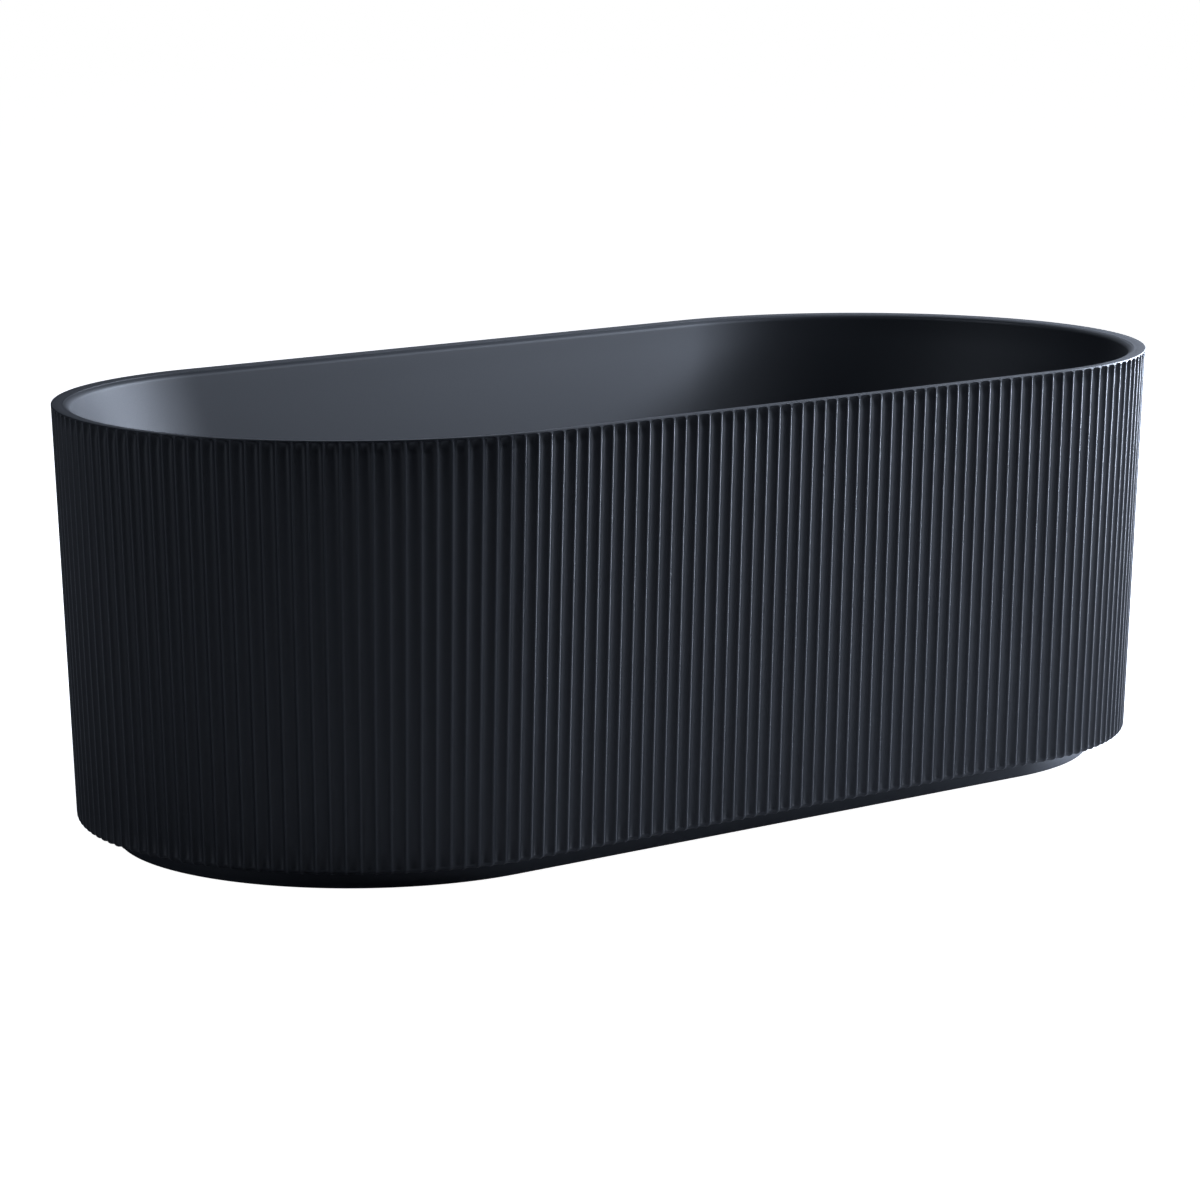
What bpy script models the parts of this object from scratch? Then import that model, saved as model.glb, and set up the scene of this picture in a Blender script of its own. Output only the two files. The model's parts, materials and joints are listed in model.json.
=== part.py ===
"""Freestanding fluted bathtub, in metres, +Z up, +X along its length.

The origin is on the floor under the middle of the tub. A smooth basin and a fluted skirt, both of
stadium plan, meet at a thin rim. Under them are a set-back plinth, a steel frame on five levelling
feet, and a click-clack waste with its trap.
"""

import math

import bmesh
import bpy
from mathutils import Matrix

# Overall
LENGTH = 1.700
WIDTH = 0.800
HEIGHT = 0.580
GAP = 0.0003  # between pieces that touch

# Rim and basin. An inset is measured inwards from the stadium outline of the rim.
RIM_WIDTH = 0.025
RIM_THICKNESS = 0.003
RIM_OUTER_ROUND = 0.0015
RIM_INNER_ROUND = 0.009
SHELL = 0.006
FLOOR_HEIGHT = 0.134
FLOOR_THICKNESS = 0.007
FLOOR_FALL = 0.004
WALL_FOOT_RISE = 0.120  # where the wall starts to curve into the floor, above the floor
SIDE_INSET_AT_WALL_FOOT = 0.080
END_INSET_AT_WALL_FOOT = 0.150
SIDE_INSET_AT_FLOOR = 0.190
END_INSET_AT_FLOOR = 0.300

# Skirt and plinth
SKIRT_BOTTOM = 0.030
SKIRT_TAPER = 0.022
SKIRT_WALL = 0.010
SKIRT_EDGE = 0.008
SKIRT_RETURN = 0.006
FLUTE_PITCH = 0.020
FLUTE_DEPTH = 0.0045
PLINTH_INSET = 0.075
PLINTH_WALL = 0.012
PLINTH_TOP = 0.060
PLINTH_LIFT = 0.001
BOND_HEIGHT = 0.025

# Frame
BOARD_THICKNESS = 0.015
BOARD_MARGIN = 0.010
BOARD_HOLE_RADIUS = 0.050
TUBE = 0.030
TUBE_WALL = 0.002
RAIL_SPACING = 0.220
RAIL_LENGTH = 0.980
END_BAR_OFFSET = 0.420
MIDDLE_BAR_OFFSET = 0.180
MIDDLE_BAR_LENGTH = 0.320

# Feet
FOOT_TO_PLINTH = 0.070
PAD_RADIUS = 0.025
PAD_HEIGHT = 0.014
PAD_EDGE = 0.001
STUD_RADIUS = 0.005
STUD_CHAMFER = 0.001
NUT_ACROSS_FLATS = 0.017
NUT_HEIGHT = 0.008
INSERT_RADIUS = 0.0068
INSERT_FLANGE = 0.010
INSERT_FLANGE_THICKNESS = 0.0015
INSERT_GRIP = 0.014  # above the crossbar's lower wall
STUD_ABOVE_INSERT = 0.010

# Plinth brackets and screws
BRACKET_WIDTH = 0.030
BRACKET_THICKNESS = 0.003
BRACKET_REACH = 0.030
BRACKET_OVERLAP = 0.040
BRACKET_DROP = 0.030  # below the top of the plinth
BRACKET_SCREW_DROP = 0.010
SCREW_RADIUS = 0.0022
SCREW_HEAD_RADIUS = 0.0045
SCREW_HEAD_HEIGHT = 0.0026

# Waste
DRAIN_RADIUS = 0.0262
DRAIN_SEAT_RADIUS = 0.045
WASTE_TAIL_RADIUS = 0.0239
WASTE_BORE_RADIUS = 0.0205
WASTE_TAIL_LENGTH = 0.056
WASTE_FLANGE_RADIUS = 0.035
WASTE_FLANGE_THICKNESS = 0.0028
GASKET_THICKNESS = 0.002
BOTTOM_GASKET_THICKNESS = 0.004
BACK_NUT_ACROSS_FLATS = 0.066
BACK_NUT_HEIGHT = 0.011
HUB_RADIUS = 0.0118
HUB_HEIGHT = 0.007
HUB_DEPTH = 0.022  # top of the hub below the flange's top
SPOKE_WIDTH = 0.004
CARTRIDGE_RADIUS = 0.0085
CARTRIDGE_BORE = 0.0065
CARTRIDGE_FLOOR = 0.002
CARTRIDGE_COLLAR = 0.0105
CARTRIDGE_ABOVE_HUB = 0.019
CARTRIDGE_BELOW_HUB = 0.013
PLUG_TRAVEL = 0.009
PLUG_RADIUS = 0.0315
PLUG_THICKNESS = 0.0045
PLUG_BOSS_RADIUS = 0.0070
PLUG_BOSS_HEIGHT = 0.0038
STEM_RADIUS = 0.0040
STEM_COLLAR_HEIGHT = 0.0025
STEM_INTO_CAP = 0.0024
PLUG_SEAL_THICKNESS = 0.0022
PLUG_SEAL_BORE = 0.0225
PLUG_SEAL_RADIUS = 0.0285
SPRING_TURNS = 5
SPRING_WIRE = 0.0011

# Trap
UNION_NUT_RADIUS = 0.0345
UNION_NUT_ON_TAIL = 0.016
UNION_NUT_LIP = 0.004
TRAP_WASHER_THICKNESS = 0.003
TRAP_INLET_FLANGE = 0.0285
TRAP_INLET_FLANGE_THICKNESS = 0.004
TRAP_NECK_RADIUS = 0.0255
TRAP_WALL = 0.003
TRAP_BOWL_RADIUS = 0.046
TRAP_CLEARANCE = 0.012  # under the bowl
TRAP_BOWL_SHARE = 0.70547  # of the room between the floor clearance and the union nut
OUTLET_LENGTH = 0.120
OUTLET_NUT_WALL = 0.009
OUTLET_NUT_LENGTH = 0.024
OUTLET_SEAL_LENGTH = 0.005

# Facets
ARC_STEPS = 24  # along each semicircular end
FILLET_STEPS = 5
ROUND_STEPS = 18
SMALL_ROUND_STEPS = 12

# Worked out
STRAIGHT = (LENGTH - WIDTH) / 2
RADIUS = WIDTH / 2
PERIMETER = 4 * STRAIGHT + 2 * math.pi * RADIUS
FLUTES = 4 * round(PERIMETER / 4 / FLUTE_PITCH)
SKIRT_TOP = HEIGHT - RIM_THICKNESS - GAP
UNDERSIDE = FLOOR_HEIGHT - FLOOR_THICKNESS
BOARD_BOTTOM = UNDERSIDE - GAP - BOARD_THICKNESS
RAIL_TOP = BOARD_BOTTOM - GAP
BAR_TOP = RAIL_TOP - TUBE - GAP
BAR_BOTTOM = BAR_TOP - TUBE
PLINTH_INSIDE = RADIUS - PLINTH_INSET - PLINTH_WALL
END_BAR_LENGTH = 2 * (PLINTH_INSIDE - BRACKET_REACH)
FLANGE_BOTTOM = FLOOR_HEIGHT + GASKET_THICKNESS + 2 * GAP
FLANGE_TOP = FLANGE_BOTTOM + WASTE_FLANGE_THICKNESS
TAIL_BOTTOM = FLANGE_BOTTOM - WASTE_TAIL_LENGTH
HUB_TOP = FLANGE_TOP - HUB_DEPTH
CARTRIDGE_TOP = HUB_TOP + CARTRIDGE_ABOVE_HUB
CARTRIDGE_BOTTOM = HUB_TOP - CARTRIDGE_BELOW_HUB
CAP_UNDERSIDE = FLANGE_TOP + PLUG_SEAL_THICKNESS + 2 * GAP + PLUG_TRAVEL
TRAP_INLET_TOP = TAIL_BOTTOM - TRAP_WASHER_THICKNESS - 2 * GAP
UNION_NUT_CATCH = TRAP_INLET_TOP - TRAP_INLET_FLANGE_THICKNESS - GAP
UNION_NUT_BOTTOM = UNION_NUT_CATCH - UNION_NUT_LIP
TRAP_BOWL_HEIGHT = TRAP_BOWL_SHARE * (UNION_NUT_BOTTOM - TRAP_CLEARANCE)
OUTLET_RADIUS = TRAP_BOWL_HEIGHT / 2
OUTLET_NUT_RADIUS = OUTLET_RADIUS + OUTLET_NUT_WALL

BLACK_ACRYLIC = ((0.022, 0.024, 0.028), 0.42, 0.0)
BLACK_PLASTIC = ((0.020, 0.020, 0.022), 0.50, 0.0)
ZINC = ((0.62, 0.63, 0.65), 0.35, 1.0)
FRAME_PAINT = ((0.05, 0.05, 0.055), 0.45, 0.3)
RUBBER = ((0.015, 0.015, 0.015), 0.80, 0.0)
BOARD = ((0.45, 0.33, 0.20), 0.85, 0.0)
BLACK_METAL = ((0.025, 0.025, 0.028), 0.32, 0.6)
BRASS = ((0.70, 0.52, 0.24), 0.30, 1.0)
STEEL = ((0.70, 0.70, 0.72), 0.25, 1.0)
WHITE_PLASTIC = ((0.80, 0.80, 0.78), 0.40, 0.0)
ADHESIVE = ((0.60, 0.58, 0.50), 0.70, 0.0)


def clear_scene():
    for obj in list(bpy.data.objects):
        bpy.data.objects.remove(obj, do_unlink=True)


def finish(name, bm, finish_values, at=(0, 0, 0), parent=None, turn=None):
    """Closes the mesh data, and places it as a named object with its own material."""
    bmesh.ops.recalc_face_normals(bm, faces=bm.faces)
    if bm.calc_volume(signed=True) < 0:
        bmesh.ops.reverse_faces(bm, faces=bm.faces)
    mesh = bpy.data.meshes.new(name)
    bm.to_mesh(mesh)
    bm.free()
    mesh.shade_smooth()
    mesh.set_sharp_from_angle(angle=math.radians(35))
    colour, roughness, metallic = finish_values
    material = bpy.data.materials.new(name)
    material.use_nodes = True
    shader = material.node_tree.nodes["Principled BSDF"]
    shader.inputs["Base Color"].default_value = (*colour, 1.0)
    shader.inputs["Roughness"].default_value = roughness
    shader.inputs["Metallic"].default_value = metallic
    mesh.materials.append(material)
    obj = bpy.data.objects.new(name, mesh)
    obj.location = at
    if turn:
        obj.rotation_euler = turn
    obj.parent = parent
    bpy.context.collection.objects.link(obj)
    return obj


def joint_empty(name, at):
    empty = bpy.data.objects.new(name, None)
    empty.location = at
    empty.empty_display_size = 0.03
    bpy.context.collection.objects.link(empty)
    return empty


def cutter(name, bm, at=(0, 0, 0)):
    obj = finish(name, bm, BLACK_PLASTIC, at)
    obj.hide_render = True
    obj.display_type = "WIRE"
    return obj


def boolean(obj, other, operation="DIFFERENCE"):
    modifier = obj.modifiers.new(f"{operation.lower()} {other.name}", "BOOLEAN")
    modifier.operation = operation
    modifier.object = other
    modifier.solver = "EXACT"


# ---------------------------------------------------------------- stadium rings
# A station is a place along the outline: (share of the perimeter, share of the straight half,
# normal x, normal y). A ring of any straight half and radius is read at the same stations.


def station(distance):
    """The station this far along the rim's outline from the middle of the -Y side, towards +X."""
    distance %= PERIMETER
    share = distance / PERIMETER
    half_turn = math.pi * RADIUS
    if distance < STRAIGHT:
        return (share, distance / STRAIGHT, 0.0, -1.0)
    distance -= STRAIGHT
    if distance < half_turn:
        angle = distance / RADIUS - math.pi / 2
        return (share, 1.0, math.cos(angle), math.sin(angle))
    distance -= half_turn
    if distance < 2 * STRAIGHT:
        return (share, 1.0 - distance / STRAIGHT, 0.0, 1.0)
    distance -= 2 * STRAIGHT
    if distance < half_turn:
        angle = distance / RADIUS + math.pi / 2
        return (share, -1.0, math.cos(angle), math.sin(angle))
    distance -= half_turn
    return (share, distance / STRAIGHT - 1.0, 0.0, -1.0)


def coarse_stations():
    """Points on the two semicircular ends only."""
    half_turn = math.pi * RADIUS
    starts = (STRAIGHT, 3 * STRAIGHT + half_turn)
    return [
        station(start + half_turn * min(step / ARC_STEPS, 0.999999))
        for start in starts
        for step in range(ARC_STEPS + 1)
    ]


def round_stations(count):
    """Evenly spaced round a circle, in the same order as the coarse stations."""
    angles = [2 * math.pi * (step + 0.5) / count - math.pi / 2 for step in range(count)]
    return [(step / count, 0.0, math.cos(a), math.sin(a)) for step, a in enumerate(angles)]


def fluted_stations():
    """A ridge and the two sides of a groove's floor for each flute: (station, depth)."""
    found = []
    for flute in range(FLUTES):
        for phase, depth in ((-0.24, FLUTE_DEPTH), (0.24, FLUTE_DEPTH), (0.5, 0.0)):
            place = station((flute + phase) * PERIMETER / FLUTES)
            found.append((place, depth))
    return found[1:] + found[:1]


def ring(bm, stations, straight, radius, height):
    """[(share, vertex)] for one closed ring."""
    made = []
    for share, along, normal_x, normal_y in stations:
        at = (along * straight + radius * normal_x, radius * normal_y, height)
        made.append((share, bm.verts.new(at)))
    return made


def inset_ring(bm, stations, inset, height):
    return ring(bm, stations, STRAIGHT, RADIUS - inset, height)


def fluted_ring(bm, inset, height):
    made = []
    for (share, along, normal_x, normal_y), depth in fluted_stations():
        radius = RADIUS - inset - depth
        at = (along * STRAIGHT + radius * normal_x, radius * normal_y, height)
        made.append((share, bm.verts.new(at)))
    return made


def bridge(bm, first, second):
    """Quads between two rings with the same number of points."""
    count = len(first)
    for step in range(count):
        after = (step + 1) % count
        corners = (first[step], first[after], second[after], second[step])
        bm.faces.new([vertex for _, vertex in corners])


def stitch(bm, first, second):
    """Triangles between two rings with different numbers of points."""
    i = j = 0
    while i < len(first) or j < len(second):
        here, there = first[i % len(first)][1], second[j % len(second)][1]
        next_i = first[(i + 1) % len(first)]
        next_j = second[(j + 1) % len(second)]
        share_i = next_i[0] + (i + 1) // len(first)
        share_j = next_j[0] + (j + 1) // len(second)
        if j == len(second) or (i < len(first) and share_i <= share_j):
            bm.faces.new((here, next_i[1], there))
            i += 1
        else:
            bm.faces.new((here, next_j[1], there))
            j += 1


def stadium_solid(name, sections, finish_values):
    """A ring-shaped solid: each section is (side inset, end inset, height), in order round it."""
    bm = bmesh.new()
    stations = coarse_stations()
    rings = []
    for side, end, height in sections:
        rings.append(ring(bm, stations, STRAIGHT + side - end, RADIUS - side, height))
    for first, second in zip(rings, rings[1:] + rings[:1]):
        bridge(bm, first, second)
    return finish(name, bm, finish_values)


# ---------------------------------------------------------------- turned and boxed shapes


def turned(name, profile, finish_values, at=(0, 0, 0), steps=ROUND_STEPS, parent=None, **more):
    """Turns (radius, height) points about Z. A profile that starts and ends on the axis, where its
    radius is 0, makes a solid of revolution; any other is a closed loop round a bore."""
    bm = turned_mesh(profile, steps, more.get("flats"))
    return finish(name, bm, finish_values, at, parent, more.get("turn"))


def turned_mesh(profile, steps=ROUND_STEPS, flats=None):
    """flats is the set of profile points that lie on a hexagon instead of a circle."""
    bm = bmesh.new()
    rings = []
    for index, (radius, height) in enumerate(profile):
        if radius == 0:
            continue
        made = []
        for step in range(steps):
            angle = 2 * math.pi * step / steps
            reach = radius
            if flats and index in flats:
                reach = radius / math.cos((angle + math.pi / 6) % (math.pi / 3) - math.pi / 6)
            at = (reach * math.cos(angle), reach * math.sin(angle), height)
            made.append((step, bm.verts.new(at)))
        rings.append(made)
    solid = profile[0][0] == 0
    pairs = list(zip(rings, rings[1:]))
    if not solid:
        pairs.append((rings[-1], rings[0]))
    for first, second in pairs:
        bridge(bm, first, second)
    if solid:
        for end in (rings[0], rings[-1]):
            bm.faces.new([vertex for _, vertex in end])
    bmesh.ops.recalc_face_normals(bm, faces=bm.faces)
    return bm


def washer(name, bore, outside, bottom, top, finish_values, **more):
    profile = [(bore, bottom), (outside, bottom), (outside, top), (bore, top)]
    return turned(name, profile, finish_values, **more)


def nut(name, across_flats, bore, bottom, top, finish_values, **more):
    profile = [(bore, bottom), (across_flats / 2, bottom), (across_flats / 2, top), (bore, top)]
    return turned(name, profile, finish_values, flats={1, 2}, **more)


def box_mesh(low, high):
    bm = bmesh.new()
    bmesh.ops.create_cube(bm, size=1.0)
    size = [top - bottom for bottom, top in zip(low, high)]
    middle = [(top + bottom) / 2 for bottom, top in zip(low, high)]
    matrix = Matrix.Translation(middle) @ Matrix.Diagonal((*size, 1.0))
    bmesh.ops.transform(bm, matrix=matrix, verts=bm.verts)
    return bm


def square_tube(name, length, along_x, at):
    """An open-ended square tube whose middle is at this place."""
    bm = bmesh.new()
    loops = []
    for end in (-length / 2, length / 2):
        for half in (TUBE / 2, TUBE / 2 - TUBE_WALL):
            corners = [(-half, -half), (half, -half), (half, half), (-half, half)]
            if along_x:
                loops.append([bm.verts.new((end, across, up)) for across, up in corners])
            else:
                loops.append([bm.verts.new((across, end, up)) for across, up in corners])
    outer_start, inner_start, outer_end, inner_end = loops
    for first, second in (
        (outer_start, outer_end),
        (outer_end, inner_end),
        (inner_end, inner_start),
        (inner_start, outer_start),
    ):
        for step in range(4):
            after = (step + 1) % 4
            bm.faces.new((first[step], first[after], second[after], second[step]))
    return finish(name, bm, FRAME_PAINT, at)


def screw(name, length, finish_values, at, turn=None):
    """A pan-head screw with its head's underside at this place, and its shank along -Z."""
    profile = [
        (0, SCREW_HEAD_HEIGHT),
        (SCREW_HEAD_RADIUS * 0.6, SCREW_HEAD_HEIGHT),
        (SCREW_HEAD_RADIUS, 0),
        (SCREW_RADIUS, 0),
        (SCREW_RADIUS, -length),
        (0, -length),
    ]
    return turned(name, profile, finish_values, at, SMALL_ROUND_STEPS, turn=turn)


# ---------------------------------------------------------------- shells


def wall_points():
    """The inside of the basin's wall from the floor's edge up to the rim, as (side inset, end inset,
    height, share of the way from floor to wall)."""
    foot = FLOOR_HEIGHT + WALL_FOOT_RISE
    floor_edge = FLOOR_HEIGHT + FLOOR_FALL
    slope = (foot - floor_edge) / (HEIGHT - RIM_INNER_ROUND - foot)
    side_corner = SIDE_INSET_AT_WALL_FOOT + slope * (SIDE_INSET_AT_WALL_FOOT - RIM_WIDTH)
    end_corner = END_INSET_AT_WALL_FOOT + slope * (END_INSET_AT_WALL_FOOT - RIM_WIDTH)
    points = []
    for step in range(FILLET_STEPS + 1):
        t = step / FILLET_STEPS
        floor, corner, wall = (1 - t) ** 2, 2 * t * (1 - t), t**2
        side = floor * SIDE_INSET_AT_FLOOR + corner * side_corner + wall * SIDE_INSET_AT_WALL_FOOT
        end = floor * END_INSET_AT_FLOOR + corner * end_corner + wall * END_INSET_AT_WALL_FOOT
        height = (floor + corner) * floor_edge + wall * foot
        points.append((side, end, height, t))
    points.append((RIM_WIDTH, RIM_WIDTH, HEIGHT - RIM_INNER_ROUND, 1.0))
    return points


def outside_insets(height):
    """(side, end) insets of the outside of the basin's wall, above where it curves into the floor."""
    foot = FLOOR_HEIGHT + WALL_FOOT_RISE
    share = (height - foot) / (HEIGHT - RIM_INNER_ROUND - foot)
    side = SIDE_INSET_AT_WALL_FOOT + share * (RIM_WIDTH - SIDE_INSET_AT_WALL_FOOT)
    end = END_INSET_AT_WALL_FOOT + share * (RIM_WIDTH - END_INSET_AT_WALL_FOOT)
    return side - SHELL, end - SHELL


def rim_points():
    """The rim from its inner round over the flat top to the bottom of its outer edge."""
    points = []
    for step in (1, 2, 3):
        angle = math.pi / 6 * step
        inset = RIM_WIDTH - RIM_INNER_ROUND * (1 - math.cos(angle))
        height = HEIGHT - RIM_INNER_ROUND * (1 - math.sin(angle))
        points.append((inset, height))
    for step in (0, 1, 2):
        angle = math.pi / 4 * step
        inset = RIM_OUTER_ROUND * (1 - math.sin(angle))
        height = HEIGHT - RIM_OUTER_ROUND * (1 - math.cos(angle))
        points.append((inset, height))
    points.append((0.0, HEIGHT - RIM_THICKNESS))
    return points


def basin_shell():
    bm = bmesh.new()
    stations = coarse_stations()
    circle = round_stations(len(stations))
    rings = [
        ring(bm, circle, 0.0, DRAIN_RADIUS, UNDERSIDE),
        ring(bm, circle, 0.0, DRAIN_RADIUS, FLOOR_HEIGHT),
        ring(bm, circle, 0.0, DRAIN_SEAT_RADIUS, FLOOR_HEIGHT),
    ]
    inside = wall_points()
    for side, end, height, _ in inside:
        rings.append(ring(bm, stations, STRAIGHT + side - end, RADIUS - side, height))
    for inset, height in rim_points():
        rings.append(inset_ring(bm, stations, inset, height))
    side, end = outside_insets(HEIGHT - RIM_THICKNESS)
    straight = STRAIGHT + side - end
    rings.append(ring(bm, stations, straight, RADIUS - side, HEIGHT - RIM_THICKNESS))
    for side, end, height, share in reversed(inside[:-1]):
        thinner = SHELL * share
        drop = (height - UNDERSIDE) * (1 - share) ** 2
        straight = STRAIGHT + side - end
        rings.append(ring(bm, stations, straight, RADIUS - side + thinner, height - drop))
    for first, second in zip(rings, rings[1:] + rings[:1]):
        bridge(bm, first, second)
    finish("basin_shell", bm, BLACK_ACRYLIC)


def skirt_inset(height):
    return SKIRT_TAPER * (HEIGHT - height) / (HEIGHT - SKIRT_BOTTOM)


def outer_skirt():
    bm = bmesh.new()
    stations = coarse_stations()
    top = fluted_ring(bm, skirt_inset(SKIRT_TOP), SKIRT_TOP)
    edge = fluted_ring(bm, skirt_inset(SKIRT_BOTTOM + SKIRT_EDGE), SKIRT_BOTTOM + SKIRT_EDGE)
    foot = fluted_ring(bm, SKIRT_TAPER + SKIRT_EDGE / 2, SKIRT_BOTTOM)
    return_low = inset_ring(bm, stations, PLINTH_INSET - GAP, SKIRT_BOTTOM)
    return_high = inset_ring(bm, stations, PLINTH_INSET - GAP, SKIRT_BOTTOM + SKIRT_RETURN)
    inner_foot_height = SKIRT_BOTTOM + SKIRT_RETURN
    inner_foot_inset = skirt_inset(inner_foot_height) + SKIRT_WALL + SKIRT_EDGE / 2
    inner_foot = inset_ring(bm, stations, inner_foot_inset, inner_foot_height)
    inner_top = inset_ring(bm, stations, skirt_inset(SKIRT_TOP) + SKIRT_WALL, SKIRT_TOP)
    bridge(bm, top, edge)
    bridge(bm, edge, foot)
    stitch(bm, foot, return_low)
    bridge(bm, return_low, return_high)
    bridge(bm, return_high, inner_foot)
    bridge(bm, inner_foot, inner_top)
    stitch(bm, inner_top, top)
    finish("outer_skirt", bm, BLACK_ACRYLIC)


def plinth():
    outside, inside = PLINTH_INSET, PLINTH_INSET + PLINTH_WALL
    sections = [
        (outside, outside, PLINTH_LIFT),
        (outside, outside, PLINTH_TOP),
        (inside, inside, PLINTH_TOP),
        (inside, inside, PLINTH_LIFT),
    ]
    stadium_solid("plinth", sections, BLACK_ACRYLIC)


def rim_bond_strip():
    """Fills the top of the space between skirt and basin, under the rim."""
    sections = []
    for height in (SKIRT_TOP, SKIRT_TOP - BOND_HEIGHT):
        outside = skirt_inset(SKIRT_TOP - BOND_HEIGHT) + SKIRT_WALL + 3 * GAP
        side, end = outside_insets(height)
        inside = (side - 2 * GAP, min(end, side) - 2 * GAP)
        pair = [(outside, outside, height), (*inside, height)]
        sections += pair if height == SKIRT_TOP else pair[::-1]
    stadium_solid("rim_bond_strip", sections, ADHESIVE)


# ---------------------------------------------------------------- frame and feet


def base_board():
    bm = bmesh.new()
    stations = coarse_stations()
    circle = round_stations(len(stations))
    radius = RADIUS - SIDE_INSET_AT_FLOOR - BOARD_MARGIN
    straight = STRAIGHT + SIDE_INSET_AT_FLOOR - END_INSET_AT_FLOOR
    top, bottom = BOARD_BOTTOM + BOARD_THICKNESS, BOARD_BOTTOM
    rings = [
        ring(bm, circle, 0.0, BOARD_HOLE_RADIUS, bottom),
        ring(bm, circle, 0.0, BOARD_HOLE_RADIUS, top),
        ring(bm, stations, straight, radius, top),
        ring(bm, stations, straight, radius, bottom),
    ]
    for first, second in zip(rings, rings[1:] + rings[:1]):
        bridge(bm, first, second)
    return finish("base_board", bm, BOARD)


def screw_hole(host, name, radius, at, length, turn=None):
    hole = turned_mesh([(0, length / 2), (radius, length / 2), (radius, -length / 2), (0, -length / 2)], 12)
    made = cutter(name, hole, at)
    if turn:
        made.rotation_euler = turn
    boolean(host, made)


def frame_and_feet():
    board = base_board()
    rails = {}
    for side, sign in (("left", -1), ("right", 1)):
        at = (0, sign * RAIL_SPACING / 2, RAIL_TOP - TUBE / 2)
        rails[side] = square_tube(f"frame_rail_{side}", RAIL_LENGTH, True, at)
    board_screws(board, rails)
    bar_height = BAR_TOP - TUBE / 2
    bars = {
        "head": square_tube("crossbar_head", END_BAR_LENGTH, False, (-END_BAR_OFFSET, 0, bar_height)),
        "middle": square_tube(
            "crossbar_middle", MIDDLE_BAR_LENGTH, False, (MIDDLE_BAR_OFFSET, 0, bar_height)
        ),
        "foot": square_tube("crossbar_foot", END_BAR_LENGTH, False, (END_BAR_OFFSET, 0, bar_height)),
    }
    foot_y = PLINTH_INSIDE - FOOT_TO_PLINTH
    places = [
        ("head", -END_BAR_OFFSET, -foot_y),
        ("head", -END_BAR_OFFSET, foot_y),
        ("foot", END_BAR_OFFSET, -foot_y),
        ("foot", END_BAR_OFFSET, foot_y),
        ("middle", MIDDLE_BAR_OFFSET, 0.0),
    ]
    for number, (bar, x, y) in enumerate(places, 1):
        levelling_foot(number, bars[bar], x, y)
    plinth_brackets(bars)


def board_screws(board, rails):
    """Each goes up through the rail's bottom and top walls into the board."""
    reach = RAIL_LENGTH / 2 - TUBE
    number = 0
    for side, sign in (("left", -1), ("right", 1)):
        for end in (-1, 1):
            number += 1
            y = sign * RAIL_SPACING / 2
            name = f"board_screw_{number}"
            head = RAIL_TOP - TUBE_WALL - GAP
            length = TUBE_WALL + GAP * 2 + BOARD_THICKNESS * 0.7
            screw(name, length, ZINC, (end * reach, y, head), (math.pi, 0, 0))
            hole = SCREW_RADIUS + GAP
            depth = 2 * (length + GAP)
            screw_hole(board, f"{name}_board_hole", hole, (end * reach, y, head), depth)
            screw_hole(rails[side], f"{name}_rail_hole", hole, (end * reach, y, head), depth)
            access = (end * reach, y, RAIL_TOP - TUBE)
            screw_hole(rails[side], f"{name}_access", SCREW_HEAD_RADIUS + GAP, access, TUBE / 2)


def levelling_foot(number, bar, x, y):
    """Pad and stud on a vertical slide, and the lock nut and threaded insert on the crossbar."""
    slide = joint_empty(f"foot_{number}_slide", (x, y, 0))
    socket = STUD_RADIUS + GAP
    socket_floor = PAD_HEIGHT * 0.35
    pad = [
        (0, 0),
        (PAD_RADIUS - PAD_EDGE, 0),
        (PAD_RADIUS, PAD_EDGE),
        (PAD_RADIUS, PAD_HEIGHT * 0.4),
        (PAD_RADIUS * 0.45, PAD_HEIGHT),
        (socket, PAD_HEIGHT),
        (socket, socket_floor),
        (0, socket_floor),
    ]
    more = {"at": (0, 0, 0), "parent": slide}
    turned(f"foot_{number}_pad", pad, RUBBER, **more)
    insert_top = BAR_BOTTOM + TUBE_WALL + INSERT_GRIP
    stud_bottom, stud_top = socket_floor + GAP, insert_top + STUD_ABOVE_INSERT
    stud = [
        (0, stud_bottom),
        (STUD_RADIUS, stud_bottom),
        (STUD_RADIUS, stud_top - STUD_CHAMFER),
        (STUD_RADIUS - STUD_CHAMFER, stud_top),
        (0, stud_top),
    ]
    turned(f"foot_{number}_stud", stud, ZINC, steps=SMALL_ROUND_STEPS, **more)
    flange_top = BAR_BOTTOM - GAP
    flange_bottom = flange_top - INSERT_FLANGE_THICKNESS
    insert = [
        (socket, flange_bottom),
        (INSERT_FLANGE, flange_bottom),
        (INSERT_FLANGE, flange_top),
        (INSERT_RADIUS, flange_top),
        (INSERT_RADIUS, insert_top),
        (socket, insert_top),
    ]
    turned(f"foot_{number}_insert", insert, STEEL, (x, y, 0), SMALL_ROUND_STEPS)
    nut_top = flange_bottom - GAP
    name = f"foot_{number}_lock_nut"
    place = {"at": (x, y, 0), "steps": SMALL_ROUND_STEPS}
    nut(name, NUT_ACROSS_FLATS, socket, nut_top - NUT_HEIGHT, nut_top, ZINC, **place)
    hole = INSERT_RADIUS + GAP
    screw_hole(bar, f"foot_{number}_bar_hole", hole, (x, y, BAR_BOTTOM), 4 * TUBE_WALL)


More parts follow.
